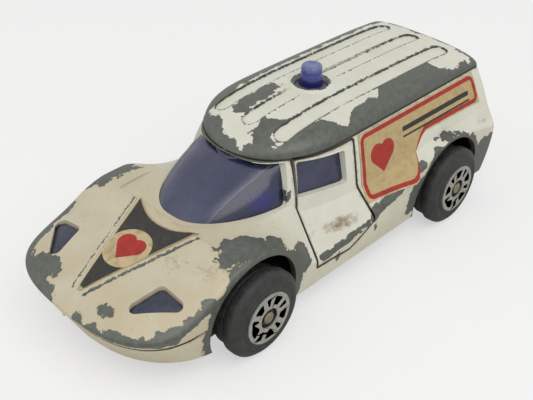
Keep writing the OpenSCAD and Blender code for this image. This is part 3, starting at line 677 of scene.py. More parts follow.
def chipped_enamel():
    """Stoved enamel on zinc: satin cream paint that yellows and stains, broken to dull grey metal, with
    painted shade darkening its grooves.
    """
    material, tree, coords = new_material("chipped_enamel_on_zinc")
    worn, edge_wear, crevice, rust, aged = (
        add_node(tree, "ShaderNodeAttribute", out="Fac", attribute_name=name)
        for name in ("worn", "edge_wear", "crevice", "rust", "aged"))
    coarse, ragged, fleck, stain, blotch = (
        add_node(tree, "ShaderNodeTexNoise",
                 {"Vector": coords, "Scale": per_mm(size), "Detail": detail, "Roughness": rough}, out="Fac")
        for size, detail, rough in ENAMEL_NOISES)

    # Paint breaks along ragged lines: the worn depth in millimetres, moved by coarse and ragged noise
    wander = add_node(tree, "ShaderNodeMath", {0: coarse, 1: 3.6, 2: -1.8}, operation="MULTIPLY_ADD")
    teeth = add_node(tree, "ShaderNodeMath", {0: ragged, 1: 1.9, 2: -0.95}, operation="MULTIPLY_ADD")
    shifted = add_node(tree, "ShaderNodeMath", {0: worn, 1: wander}, operation="ADD")
    depth = add_node(tree, "ShaderNodeMath", {0: shifted, 1: teeth}, operation="ADD")
    broad = add_node(tree, "ShaderNodeMapRange", {"Value": depth, 1: -0.03, 2: 0.03})
    nibble = add_node(tree, "ShaderNodeMath", {0: ragged, 1: 1.4, 2: -0.7}, operation="MULTIPLY_ADD")
    line = add_node(tree, "ShaderNodeMath", {0: edge_wear, 1: nibble}, operation="ADD")
    narrow = add_node(tree, "ShaderNodeMapRange", {"Value": line, 1: -0.03, 2: 0.03})
    speckle = add_node(tree, "ShaderNodeMath", {0: rust, 1: 0.05, 2: fleck}, operation="MULTIPLY_ADD")
    chips = add_node(tree, "ShaderNodeMapRange", {"Value": speckle, 1: 0.735, 2: 0.75})
    bare_edges = add_node(tree, "ShaderNodeMath", {0: broad, 1: narrow}, operation="MAXIMUM")
    bare = add_node(tree, "ShaderNodeMath", {0: bare_edges, 1: chips}, operation="MAXIMUM")

    yellowing = add_node(tree, "ShaderNodeMath", {0: blotch, 1: 0.9, 2: -0.45}, operation="MULTIPLY_ADD")
    age = add_node(tree, "ShaderNodeMath", {0: aged, 1: yellowing}, operation="ADD", use_clamp=True)
    paint = add_node(tree, "ShaderNodeMix", {0: age, 6: linear("#DFE0D2"), 7: linear("#C6BA9C")}, out=2,
                     data_type="RGBA")
    brown = add_node(tree, "ShaderNodeMath", {0: stain, 1: rust}, operation="ADD")
    stained = add_node(tree, "ShaderNodeMapRange", {"Value": brown, 1: 0.95, 2: 1.35, 4: 0.85})
    rusted = add_node(tree, "ShaderNodeMix", {0: stained, 6: paint, 7: linear("#7A5531")},
                      out=2, data_type="RGBA")

    mottle = add_node(tree, "ShaderNodeMapRange", {"Value": stain, 1: 0.3, 2: 0.7})
    zinc = add_node(tree, "ShaderNodeMix", {0: mottle, 6: linear("#50534C"), 7: linear("#6A6D66")}, out=2,
                    data_type="RGBA")
    surface = add_node(tree, "ShaderNodeMix", {0: bare, 6: rusted, 7: zinc}, out=2, data_type="RGBA")
    # Painted shade: grooves and the gutter's crease are darkened to near black
    groove_shade = add_node(tree, "ShaderNodeMapRange", {"Value": crevice, 1: 0.14, 2: -0.02, 4: 0.92})
    colour = add_node(tree, "ShaderNodeMix", {0: groove_shade, 6: surface, 7: linear("#2B241C")},
                      out=2, data_type="RGBA")

    gloss = add_node(tree, "ShaderNodeMapRange", {"Value": stain, 1: 0.3, 2: 0.7, 3: 0.38, 4: 0.6})
    metal = add_node(tree, "ShaderNodeMath", {0: bare, 1: 0.45}, operation="MULTIPLY")
    step = add_node(tree, "ShaderNodeMath", {0: bare, 1: -1.0, 2: 1.0}, operation="MULTIPLY_ADD")
    height = add_node(tree, "ShaderNodeMath", {0: fleck, 1: 0.25, 2: step}, operation="MULTIPLY_ADD")
    bump = add_node(tree, "ShaderNodeBump", {"Height": height, "Strength": 0.6, "Distance": 0.08 * MM})
    shader = add_node(tree, "ShaderNodeBsdfPrincipled",
                      {"Base Color": colour, "Roughness": gloss, "Metallic": metal, "Normal": bump})
    add_node(tree, "ShaderNodeOutputMaterial", {"Surface": shader})
    return material


def mottled(name, dark, light, grain, roughness, patches, relief, share=1.0, metallic=0.0):
    """A dark tone that pales in soft patches, as dust or dulling gives; sizes in millimetres."""
    material, tree, coords = new_material(name)
    patch = add_node(tree, "ShaderNodeTexNoise",
                     {"Vector": coords, "Scale": per_mm(grain), "Detail": 6, "Roughness": 0.7}, out="Fac")
    pale = add_node(tree, "ShaderNodeMapRange", {"Value": patch, 1: patches[0], 2: patches[1], 4: share})
    colour = add_node(tree, "ShaderNodeMix", {0: pale, 6: linear(dark), 7: linear(light)},
                      out=2, data_type="RGBA")
    rough = add_node(tree, "ShaderNodeMapRange",
                     {"Value": patch, 1: 0.3, 2: 0.7, 3: roughness, 4: roughness + 0.2})
    bump = add_node(tree, "ShaderNodeBump",
                    {"Height": patch, "Strength": relief[0], "Distance": relief[1] * MM})
    shader = add_node(tree, "ShaderNodeBsdfPrincipled",
                      {"Base Color": colour, "Roughness": rough, "Metallic": metallic, "Normal": bump})
    add_node(tree, "ShaderNodeOutputMaterial", {"Surface": shader})
    return material


def tinted_polystyrene():
    """Clear blue polystyrene gone hazy: dark glassy tint under a greyish film of scratches and dust, with a
    patch of painted light that turns the tint a brighter blue and a painted highlight along the moulding's
    fold.
    """
    material, tree, coords = new_material("tinted_polystyrene")
    pane = add_node(tree, "ShaderNodeAttribute", out="Fac", attribute_name="pane")
    glow = add_node(tree, "ShaderNodeAttribute", out="Fac", attribute_name="glow")
    cloud, scuff = (
        add_node(tree, "ShaderNodeTexNoise",
                 {"Vector": coords, "Scale": per_mm(size), "Detail": 5, "Roughness": 0.65}, out="Fac")
        for size in (6.0, 0.5))
    front = add_node(tree, "ShaderNodeMapRange", {"Value": pane, 1: 0.15, 2: -0.15})
    film = add_node(tree, "ShaderNodeMapRange", {"Value": cloud, 1: 0.3, 2: 0.7, 3: 0.15, 4: 0.75})
    haze = add_node(tree, "ShaderNodeMath", {0: film, 1: front}, operation="MULTIPLY")
    # Painted light: where the glow field is high, the tint turns a brighter blue
    tint = add_node(tree, "ShaderNodeMix", {0: glow, 6: linear("#1C2142"), 7: linear("#161A78")}, out=2,
                    data_type="RGBA")
    hazy = add_node(tree, "ShaderNodeMix", {0: haze, 6: tint, 7: linear("#474E70")},
                    out=2, data_type="RGBA")
    crease = add_node(tree, "ShaderNodeMath", {0: pane}, operation="ABSOLUTE")
    # Painted highlight: a pale grey line along the moulding's fold
    line = add_node(tree, "ShaderNodeMapRange", {"Value": crease, 1: 0.22, 2: 0.05, 4: 0.35})
    colour = add_node(tree, "ShaderNodeMix", {0: line, 6: hazy, 7: linear("#8A8C98")},
                      out=2, data_type="RGBA")
    rough = add_node(tree, "ShaderNodeMapRange", {"Value": scuff, 1: 0.35, 2: 0.7, 3: 0.16, 4: 0.34})
    bump = add_node(tree, "ShaderNodeBump", {"Height": scuff, "Strength": 0.1, "Distance": 0.03 * MM})
    shader = add_node(tree, "ShaderNodeBsdfPrincipled",
                      {"Base Color": colour, "Roughness": rough, "IOR": 1.59, "Transmission Weight": 0.2,
                       "Normal": bump})
    add_node(tree, "ShaderNodeOutputMaterial", {"Surface": shader})
    return material


def beacon_polystyrene():
    """Blue polystyrene lamp: painted light in bands up its barrel over painted shade at its foot, scuffed
    grey on the crown.
    """
    material, tree, coords = new_material("beacon_polystyrene")
    height = add_node(tree, "ShaderNodeAttribute", out="Fac", attribute_name="rise")
    scuff = add_node(tree, "ShaderNodeTexNoise",
                     {"Vector": coords, "Scale": per_mm(0.8), "Detail": 5, "Roughness": 0.7}, out="Fac")
    # Painted light and shade: the blue is darkened at the foot and brightened in bands up the barrel
    painted_light_tone = add_node(tree, "ShaderNodeValToRGB", {"Fac": height})
    ramp = painted_light_tone.node.color_ramp
    ramp.elements[0].color = linear("#191C52")
    ramp.elements[1].color = linear("#5A64AE")
    ramp.elements[1].position = 0.85
    for position, tone in ((0.32, "#23277A"), (0.55, "#5661BA"), (0.7, "#3D4590")):
        ramp.elements.new(position).color = linear(tone)
    crown = add_node(tree, "ShaderNodeMapRange", {"Value": height, 1: 0.68, 2: 0.95, 4: 0.7})
    patch = add_node(tree, "ShaderNodeMapRange", {"Value": scuff, 1: 0.4, 2: 0.62})
    worn = add_node(tree, "ShaderNodeMath", {0: crown, 1: patch}, operation="MULTIPLY")
    colour = add_node(tree, "ShaderNodeMix", {0: worn, 6: painted_light_tone, 7: linear("#8C90AE")}, out=2,
                      data_type="RGBA")
    bump = add_node(tree, "ShaderNodeBump", {"Height": scuff, "Strength": 0.2, "Distance": 0.06 * MM})
    shader = add_node(tree, "ShaderNodeBsdfPrincipled",
                      {"Base Color": colour, "Roughness": 0.28, "IOR": 1.59, "Transmission Weight": 0.3,
                       "Normal": bump})
    add_node(tree, "ShaderNodeOutputMaterial", {"Surface": shader})
    return material


def printed_paper(name, ground, layers, edge_tone):
    """Paper label: flat print, foxed ground and rubbed ink. Layers are (field, colour, wear)."""
    material, tree, coords = new_material(name)
    fibre, foxing, rub = (
        add_node(tree, "ShaderNodeTexNoise",
                 {"Vector": coords, "Scale": per_mm(size), "Detail": 5, "Roughness": 0.7}, out="Fac")
        for size in (0.35, 1.6, 0.8))
    spots = add_node(tree, "ShaderNodeMapRange", {"Value": foxing, 1: 0.45, 2: 0.75, 4: 0.55})
    specks = add_node(tree, "ShaderNodeMapRange", {"Value": fibre, 1: 0.66, 2: 0.74, 4: 0.5})
    foxed = add_node(tree, "ShaderNodeMath", {0: spots, 1: specks}, operation="MAXIMUM")
    colour = add_node(tree, "ShaderNodeMix", {0: foxed, 6: linear(ground), 7: linear(edge_tone)}, out=2,
                      data_type="RGBA")
    for field, tone, wear in layers:
        depth = add_node(tree, "ShaderNodeAttribute", out="Fac", attribute_name=field)
        rough_edge = add_node(tree, "ShaderNodeMath", {0: fibre, 1: 0.2, 2: -0.1}, operation="MULTIPLY_ADD")
        moved = add_node(tree, "ShaderNodeMath", {0: depth, 1: rough_edge}, operation="ADD")
        inked = add_node(tree, "ShaderNodeMapRange", {"Value": moved, 1: -0.03, 2: 0.03})
        kept = add_node(tree, "ShaderNodeMapRange", {"Value": rub, 1: 0.66 + wear, 2: 0.62 + wear})
        share = add_node(tree, "ShaderNodeMath", {0: inked, 1: kept}, operation="MULTIPLY")
        ink = add_node(tree, "ShaderNodeMix", {0: spots, 6: linear(tone), 7: linear(edge_tone)}, out=2,
                       data_type="RGBA", blend_type="MULTIPLY")
        colour = add_node(tree, "ShaderNodeMix", {0: share, 6: colour, 7: ink}, out=2, data_type="RGBA")
    bump = add_node(tree, "ShaderNodeBump", {"Height": fibre, "Strength": 0.2, "Distance": 0.03 * MM})
    shader = add_node(tree, "ShaderNodeBsdfPrincipled",
                      {"Base Color": colour, "Roughness": 0.62, "Normal": bump})
    add_node(tree, "ShaderNodeOutputMaterial", {"Surface": shader})
    return material


# Where the casting's paint is worn and stained, and where its grooves get painted shade
def blob(points, centre, reach):
    """Depth inside a rounded patch, in millimetres, from its middle and its reach along each axis."""
    reach = np.array(reach, float)
    scaled = np.linalg.norm((points - np.array(centre)) / reach, axis=1)
    return (1 - scaled) * reach.min()


# Rubbed patches of bare metal: middle and reach
RUBBED_PATCHES = (
    ((0.2, -3.7, 32.2), (5.2, 1.9, 3)),
    ((24.5, 15.6, 19.5), (4.6, 3.4, 2.5)),
    ((19.5, 17.4, 19), (4.5, 2, 2.5)),
    ((11.6, 18.4, 12.8), (4.2, 2.5, 3.4)),
    ((-21.6, 19, 10), (2.2, 2.5, 5)),
    ((39, -17.5, 12.5), (5, 3, 3)),
    ((45.5, -9, 14), (3, 3.5, 2.5)),
    ((41.5, 17.6, 13), (3.4, 1.6, 1.4)),
    ((45.6, 6.6, 14.6), (1, 1.6, 1.5)),
    ((9.2, 12.1, 21.8), (0.7, 1, 1.2)),
    ((26.5, 12.6, 19.8), (1.1, 1, 1)),
    ((1.5, 17.7, 8.6), (0.25, 2, 0.7)),
    ((-9, 18.3, 9.2), (0.25, 2, 0.7)),
)
# Paint that stayed on inside worn stretches
KEPT_PATCHES = (
    ((8.3, -0.7, 30.8), (3.2, 3.1, 4)),
    ((7.0, -5.8, 30.7), (1.4, 3, 4)),
    ((10.3, 2.4, 29.7), (1.6, 1.4, 4)),
    ((6.1, 7.7, 30.4), (2.7, 1.7, 4)),
    ((-40, 10.6, 31), (4, 1.9, 4)),
    ((-43.5, -9.5, 31), (6, 1.2, 4)),
    ((-44.8, 4, 31), (1, 9, 4)),
)
# Brown stains: middle, reach and strength
STAINS = (
    ((33, 9, 18), (6, 5, 4), 0.5),
    ((31, 14.5, 18.8), (4, 4, 4), 0.55),
    ((15.5, 14, 19.2), (6, 4, 3), 0.45),
    ((-0.5, 17, 13.6), (6, 3, 1.8), 0.8),
    ((6, 15.5, 14), (2, 3, 4), 0.5),
    ((40, -13, 15.5), (6, 6, 4), 0.45),
    ((44, 4, 15), (6, 6, 4), 0.35),
    ((42, 13, 15), (5, 5, 4), 0.4),
    ((30, -13, 19), (8, 5, 4), 0.3),
)


# Bare width of the roof beside its left and right edge, by place along it, and where the brow starts to be
# bare, by place across it
BARE_NEAR = (
    (-48, 6), (-45, 5), (-43.5, 2.6), (-36, 3), (-34, 5.9), (-20, 5.9), (-15, 4), (-10.4, 4.5),
    (-7.2, 3.1), (-5.4, 2.4), (-3.1, 4.1), (-2, 5.7), (2, 7), (4, 9),
)
BARE_FAR = ((-48, 3.4), (-40, 4.6), (-10, 5), (2, 5.2), (5, 6))
BARE_BROW = ((-9, 5), (-6, 5), (-2.5, 4), (0, 8), (3, 5.2), (6, 3.2), (9, 0.5))


def gutter_line():
    x = np.concatenate([np.linspace(TAIL_X + 1, BROW_X - 3, 60),
                        mix(BROW_X - 3, BROW_X, np.sin(np.linspace(0, np.pi / 2, 20)))])
    half, height = gutter(x)
    return np.stack([lean_x(x, height), half, height], axis=-1)


def shoulder_line(start, end, count=40):
    x = np.linspace(start, end, count)
    return np.stack([x, plan_half(x, 1.0, 0), curve(SHOULDER_HEIGHT, x)], axis=-1)


def paint_fields(points):
    """Wear, stains, painted shade in grooves and age of the enamel at each point: depths in millimetres,
    shares from 0 to 1.
    """
    x, y, z = points.T
    near = y > 0
    folded = points * (1, 0, 1) + np.abs(y)[:, None] * (0, 1, 0)
    from_gutter = distance_to_line(folded, gutter_line())
    on_roof = (z > curve(GUTTER_HEIGHT, x) - 0.15) & (x < BROW_X + 1)
    near_width, far_width = curve(BARE_NEAR, x), curve(BARE_FAR, x)
    roof_band = np.where(near, near_width, far_width) - from_gutter
    brow_front = curve(BARE_BROW, y)
    tail_edge = 2.3 - (x - lean_x(np.full_like(x, TAIL_X), z))
    worn = np.where(on_roof, np.maximum.reduce([roof_band, x - brow_front, tail_edge]), -9)
    for centre, reach in KEPT_PATCHES:
        worn = np.where(on_roof, np.minimum(worn, -blob(points, centre, reach)), worn)

    flat = points[:, :2]
    channels = np.maximum.reduce([inside_outline(flat, channel_outline(c)) for c in CHANNEL_ROWS])
    worn = np.where(on_roof & (channels > 0.05), -2, worn)
    rim = np.abs(np.hypot(x - BEACON_X, y) - BEACON_HOLE_R)
    on_ring = on_roof & (np.hypot(x - BEACON_X, y) < BEACON_HOLE_R + 2)
    worn = np.where(on_ring, -3, worn)
    lands = np.where(on_roof & ~on_ring, 0.18 - np.abs(channels + 0.05), -3)
    ring_rim = np.where(on_ring & (z > ROOF_Z - 0.5), 0.35 - rim, -3)

    outside = (np.abs(y) > 15) & (z > SILL_Z - 0.1)
    from_arch = [np.hypot(x - place, z - AXLE_Z) - ARCH_R for place in (FRONT_X, REAR_X)]
    arches = np.where(outside, np.maximum(1.5 - from_arch[0], 1.0 - from_arch[1]), -9)
    lip = distance_to_line(folded, shoulder_line(LIP_START - 2, NOSE_X - 0.05, 60))
    lip_band = np.where(y < -4, 2.2, 1.2) - lip
    crest_door = 0.85 - distance_to_line(folded, shoulder_line(-5.6, 5.4))
    crest_rear = 1.05 - distance_to_line(folded, shoulder_line(-23, -8))
    behind = np.where((x < -40) & (z < 17), 14.3 - z - 0.5 * np.clip(x + 44, 0, 9), -9)
    rubbed = [blob(points, centre, reach) for centre, reach in RUBBED_PATCHES]
    worn = np.maximum.reduce([worn, arches, lip_band, crest_door, crest_rear, behind, *rubbed])

    ridge_u = np.linspace(0, 1, 30)
    ridge = np.stack(bonnet_label_point(ridge_u, 1.0), axis=-1) + (0, RIDGE_W, 0.1)
    ridge_wear = 0.22 - distance_to_line(folded, ridge)
    edge_wear = np.maximum.reduce([lands, ring_rim, ridge_wear])

    side = np.abs(y) > 8
    shut = inside_outline(points[:, (0, 2)], door_outline(0))
    shut_line = np.where(side & (z < GUTTER_Z - 0.3), np.abs(shut - LINE_W / 2) - LINE_W / 2, 9)
    nose_line = np.abs(z - (LIP_Z - 1.9 + LINE_W / 2)) - LINE_W / 2
    nose_line = np.where(x > FRONT_X + ARCH_R + 1, nose_line, 9)
    # Grooves and the gutter's crease: painted shade there, with brown stains spreading from them
    crevice = np.minimum.reduce([shut_line, nose_line, from_gutter - 0.16])

    rust = np.zeros(len(points))
    for centre, reach, strength in STAINS:
        away = np.linalg.norm((points - np.array(centre)) / np.array(reach), axis=1)
        rust = np.maximum(rust, strength * ease(1 - 0.6 * away))
    rust = np.maximum(rust, 0.55 * ease(1 - np.clip(crevice, 0, 9) / 1.6))
    aged = np.where(z < 21, 0.15 + 0.75 * ease((x - 6) / 18), 0.12)
    aged = np.maximum(aged, np.where((z < curve(SHOULDER_HEIGHT, x) - 0.5) & (np.abs(y) > 14), 0.5, 0))
    return {"worn": worn, "edge_wear": edge_wear, "crevice": crevice, "rust": rust, "aged": aged}


def dress(piece, material, body_name, slot, *nodes):
    """Gives a finished piece its material, hides the solids it stands for and hangs it on the body it moves
    with.
    """
    piece.data.materials.clear()
    piece.data.materials.append(material)
    if nodes:
        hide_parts(*nodes)
    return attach(piece, body_name)


def softened(node, width, segments=2):
    """Copy of a solid with its loose triangles merged and its edges rounded."""
    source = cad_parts[node]
    piece = bpy.data.objects.new(node + "_finish", source.data.copy())
    bpy.context.scene.collection.objects.link(piece)
    work = bmesh.new()
    work.from_mesh(piece.data)
    bmesh.ops.remove_doubles(work, verts=work.verts, dist=0.002 * MM)
    bmesh.ops.dissolve_limit(work, angle_limit=math.radians(1), verts=work.verts, edges=work.edges)
    work.to_mesh(piece.data)
    work.free()
    bevel = piece.modifiers.new("edges", "BEVEL")
    bevel.width = width * MM
    bevel.segments = segments
    bevel.limit_method = "ANGLE"
    bevel.angle_limit = math.radians(40)
    return smooth(take_mesh(piece))


def thin_sheet(name, low, high):
    """Closed sheet between two grids of points."""
    rows, columns = low.shape[:2]
    count = rows * columns
    faces = [f[::-1] for f in grid_faces(rows, columns)] + grid_faces(rows, columns, start=count)
    rim = [r * columns for r in range(rows)] + [(rows - 1) * columns + c for c in range(1, columns)]
    rim += [r * columns + columns - 1 for r in range(rows - 2, -1, -1)] + list(range(columns - 2, 0, -1))
    faces += [(a, b, b + count, a + count) for a, b in zip(rim, rim[1:] + rim[:1])]
    return mesh_object(name, np.concatenate([low.reshape(-1, 3), high.reshape(-1, 3)]), faces, merge=False)


def heart(points, middle, height):
    """Depth inside a plain heart that stands on its point, in the units of its height."""
    size = height / 1.1
    p = (points - np.array(middle)) / size + (0, 0.55)
    p[:, 0] = np.abs(p[:, 0])
    lobe = np.linalg.norm(p - (0.25, 0.75), axis=1) - math.sqrt(2) / 4
    to_dip = np.linalg.norm(p - (0, 1), axis=1)
    half = 0.5 * np.maximum(p.sum(axis=1), 0)
    to_side = np.linalg.norm(p - half[:, None], axis=1)
    flank = np.minimum(to_dip, to_side) * np.sign(p[:, 0] - p[:, 1])
    return -np.where(p.sum(axis=1) > 1, lobe, flank) * size


# Windows: one tinted moulding that lines the cabin
# Ends of the moulding's fold, which carries a painted highlight line
CREASE_TOP = (9.1, 8.2)
CREASE_FOOT = (20.6, 6.5)
# Middle of a patch of painted light in the side windows
PAINTED_GLOW_SPOT = (13.0, 9.6, 21.6)


def make_glazing():
    inset = WALL + GLASS_GAP
    skin = np.concatenate([
        [TAIL_X + WALL + 2 * GLASS_GAP], np.linspace(TAIL_X + 5, CABIN_START - 4, 30),
        np.linspace(CABIN_START - 2, BROW_X - 0.6, 24), np.linspace(BROW_X + 0.4, SCREEN_X - 0.6, 36)])
    lining = np.concatenate([
        [TAIL_X + WALL + 2 * GLASS_GAP + GLASS_T], np.linspace(TAIL_X + 5, CABIN_START - 4, 20),
        np.linspace(CABIN_START - 2, BROW_X - 0.6, 16), np.linspace(BROW_X + 0.4, SCREEN_X - 3.4, 20)])
    glazing = loft("window_glass", skin, inset, (8, 16, 36, 36))
    skirt = np.array(((TAIL_X, -25), (NOSE_X, -25), (NOSE_X, 25), (TAIL_X, 25)))
    combine(glazing, "INTERSECT", prism("skirt", skirt, 2, BONNET_Z - 0.5, ROOF_Z + 5))
    hole = ((0, ROOF_Z - 6), (BEACON_R + 0.1, ROOF_Z - 6), (BEACON_R + 0.1, ROOF_Z + 2), (0, ROOF_Z + 2))
    combine(glazing, "DIFFERENCE", loft("lining", lining, inset + GLASS_T, (8, 12, 20, 20)),
            revolve("spigot_hole", hole, (BEACON_X, 0, 0)))
    points = corners_of(glazing)
    x, y = points.T[:2]
    # Distance from the moulding's fold, which gets a painted highlight line
    along = np.clip((x - CREASE_TOP[0]) / (CREASE_FOOT[0] - CREASE_TOP[0]), -0.5, 1.4)
    pane = np.abs(y) - mix(CREASE_TOP[1], CREASE_FOOT[1], along)
    pane = np.where((x > PILLAR_X - 1) & (x < CREASE_FOOT[0] + 4), pane, -3)
    # Painted light: a soft patch near the side windows where the glass is given a brighter blue
    folded = points * (1, 0, 1) + np.abs(y)[:, None] * (0, 1, 0)
    glow = ease(1 - np.linalg.norm((folded - PAINTED_GLOW_SPOT) / (4.5, 4, 2.6), axis=1))
    return smooth(keep_values(glazing, pane=pane, glow=glow))


def make_beacon():
    flange_r = BEACON_HOLE_R - 0.15
    seat = place_of("roof_beacon")[0][2]
    flange, rest = ROOF_Z - 0.4, ROOF_Z - 1.2
    profile = ((0, seat), (BEACON_R, seat), (BEACON_R, rest), (flange_r, rest), (flange_r, flange),
               (BEACON_R + 0.25, flange), (BEACON_R, flange + 0.3), (BEACON_R - 0.03, ROOF_Z + 1.4),
               (BEACON_R - 0.1, ROOF_Z + 1.55), (BEACON_R - 0.05, ROOF_Z + 1.7),
               (BEACON_R - 0.12, BEACON_TOP), (0.9, BEACON_TOP), (0.7, BEACON_TOP - 0.08),
               (0, BEACON_TOP - 0.08))
    beacon = revolve("beacon_lamp", filleted(profile, 0.75, closed=False), (BEACON_X, 0, 0), sides=72)
    rise = (corners_of(beacon)[:, 2] - flange) / (BEACON_TOP - flange)
    return smooth(keep_values(beacon, rise=np.clip(rise, 0, 1)), 40)


# Rings of a headlamp insert: share of its outline and height above its face's edge
LENS_RINGS = ((1.0, -1.2), (1.0, -0.08), (0.96, 0.0), (0.8, 0.05), (0.5, 0.09), (0.2, 0.1), (0.0, 0.1))
LENS_SINK = 0.62


def make_lens(side):
    """Headlamp insert: a sunk plate that follows the bonnet's slope, with a slightly domed face."""
    outline = filleted(lamp_outline(side, grow=-0.12), 0.2, steps=2)
    middle = outline.mean(axis=0)
    rings = []
    for share, lift in LENS_RINGS:
        flat = mix(middle, outline, share)
        rings.append(np.column_stack([flat, bonnet_at(flat[:, 0], flat[:, 1]) - LENS_SINK + lift]))
    n = len(outline)
    faces = grid_faces(len(rings), n, closed=True) + [tuple(range(n))]
    name = "headlamp_insert_left" if side > 0 else "headlamp_insert_right"
    return smooth(mesh_object(name, np.concatenate(rings), faces))


ROUNDEL_X = 35.4
ROUNDEL_R = 4.3
ROUNDEL_HEART = 5.4


def make_bonnet_label():
    u = np.linspace(0, 1, 110)[:, None]
    v = np.linspace(-1, 1, 61)[None, :]
    x, y, z = np.broadcast_arrays(*bonnet_label_point(u, v))
    low = np.stack([x, y, z + LABEL_LIFT], axis=-1)
    label = thin_sheet("bonnet_sticker", low, low + (0, 0, LABEL_T))
    spine = np.stack(bonnet_label_point(np.linspace(0, 1, 200), 0.0), axis=-1)
    run = np.concatenate([[0], np.cumsum(np.linalg.norm(np.diff(spine, axis=0), axis=1))])
    flat = np.stack([y, np.interp(x, spine[:, 0], run)], axis=-1).reshape(-1, 2)
    centre = (0.0, float(np.interp(ROUNDEL_X, spine[:, 0], run)))
    away = np.linalg.norm(flat - centre, axis=1)
    edge = np.minimum(LABEL_HALF * (1 - np.abs(v)) * mix(1, 0.1, u), (LABEL_TIP - x) * 0.3)
    edge = np.minimum(edge, (x - bonnet_label_point(0.0, v)[0]) * 0.8).reshape(-1)
    fields = {"roundel": ROUNDEL_R - away, "emblem": heart(flat * (1, -1), (0, -centre[1]), ROUNDEL_HEART),
              "border": 0.22 - edge}
    return smooth(keep_values(label, **{k: np.tile(f, 2) for k, f in fields.items()}))


SIDE_LABEL_FRONT = DOOR_REAR_X - 3.9
SIDE_LABEL_REAR = TAIL_X + 3.6
SIDE_LABEL_TOP = GUTTER_Z - 0.4
SIDE_HEART = 6.2
SIDE_HEART_AT = (SIDE_LABEL_FRONT - 6.2, -6.6)
# Drop below the label's top edge and half-width of each stripe
SIDE_STRIPES = ((3.5, 0.5), (5.0, 0.2))


def side_label_low(x):
    step = REAR_X + ARCH_R - 1
    return mix(BELT_Z + 1, BELT_Z + 8, ease((step + 4.5 - x) / 8))


def make_side_label(side):
    x = np.linspace(SIDE_LABEL_FRONT, SIDE_LABEL_REAR, 170)[:, None]
    v = np.linspace(0, 1, 70)[None, :]
    z = mix(SIDE_LABEL_TOP, side_label_low(x), v)
    y = side_at(x, z) + LABEL_LIFT
    x = np.broadcast_to(x, z.shape)
    low = np.stack([lean_x(x, z), side * y, z], axis=-1)
    name = "side_sticker_left" if side > 0 else "side_sticker_right"
    label = thin_sheet(name, low, low + (0, side * LABEL_T, 0.35 * LABEL_T))
    steps = np.hypot(np.diff(y, axis=1), np.diff(z, axis=1))
    down = np.concatenate([np.zeros((170, 1)), np.cumsum(steps, axis=1)], axis=1)
    flat = np.stack([x, -down], axis=-1)
    corner = 1.9
    top_x = np.linspace(SIDE_LABEL_FRONT - corner, SIDE_LABEL_REAR + corner, 30)
    top = np.column_stack([top_x, np.full(30, -corner)])
    bottom_x = np.linspace(SIDE_LABEL_REAR + corner, SIDE_LABEL_FRONT - corner, 60)
    depth = np.interp(bottom_x, x[::-1, 0], down[::-1, -1])
    core = np.concatenate([top, np.column_stack([bottom_x, corner - depth])])
    inside = inside_outline(flat.reshape(-1, 2), core) + corner
    grid = flat.reshape(-1, 2)
    bar_x = (SIDE_LABEL_FRONT - 12.5, SIDE_LABEL_REAR + 3.2)
    bars = []
    for drop, half in SIDE_STRIPES:
        end_gap = np.minimum(bar_x[0] - grid[:, 0], grid[:, 0] - bar_x[1])
        bars.append(np.minimum(half - np.abs(grid[:, 1] + drop), end_gap))
    fields = {"outline": 0.46 - np.abs(inside - 0.75), "margin": 0.3 - inside,
              "emblem": heart(grid, SIDE_HEART_AT, SIDE_HEART), "bars": np.maximum(*bars)}
    return smooth(keep_values(label, **{k: np.tile(f, 2) for k, f in fields.items()}))


# Running gear
BORE_R = 0.85
BOSS_R = 1.7
HUB_HOLE_R = HUB_R - 3.1
HUB_DISH = 0.9
TRIM_T = 0.2


def make_wheel(name, x, side):
    """Black wheel with a stepped tread, a fine ring on its sidewall and a dished hub."""
    rim, tread = HUB_R + 0.5, WHEEL_W * 0.56
    profile = (
        (BORE_R, HUB_DISH - 0.4), (BOSS_R, HUB_DISH - 0.4), (BOSS_R, HUB_DISH), (HUB_HOLE_R, HUB_DISH),
        (HUB_HOLE_R, TRIM_T), (rim, TRIM_T), (rim + 0.25, 0.5), (rim + 0.7, 0.42), (TYRE_R - 1.75, 0.38),
        (TYRE_R - 1.62, 0.5), (TYRE_R - 1.5, 0.4), (TYRE_R - 0.75, 0.72), (TYRE_R - 0.12, 1.25),
        (TYRE_R, 1.8), (TYRE_R, tread - 0.45), (TYRE_R - 0.95, tread - 0.2), (TYRE_R - 0.95, tread + 0.1),
        (TYRE_R - 0.55, tread + 0.3), (TYRE_R - 0.55, WHEEL_W - 0.6), (TYRE_R - 1.05, WHEEL_W),
        (rim - 0.6, WHEEL_W), (rim - 0.9, WHEEL_W - 1.6), (BOSS_R + 1.2, WHEEL_W - 1.6),
        (BOSS_R + 0.8, WHEEL_W), (BORE_R, WHEEL_W))
    turned = filleted(profile, 0.16, steps=4) * (1, -side) + (0, side * HUB_FACE)
    return smooth(revolve(name, turned, (x, 0, AXLE_Z), along=1, sides=96), 40)


def make_axle(name, x):
    """Steel rod with a peened head at each end."""
    low, high = place_of(name)
    half = high[1]
    rod, head = 0.8, (high[2] - low[2]) / 2
    side = ((rod, half - 0.5), (head, half - 0.5), (head, half - 0.22), (head * 0.55, half), (0, half))
    profile = [(r, -h) for r, h in reversed(side)] + list(side)
    turned = filleted(profile, 0.12, closed=False)
    return smooth(revolve(name + "_rod", turned, (x, 0, AXLE_Z), along=1, sides=48), 40)


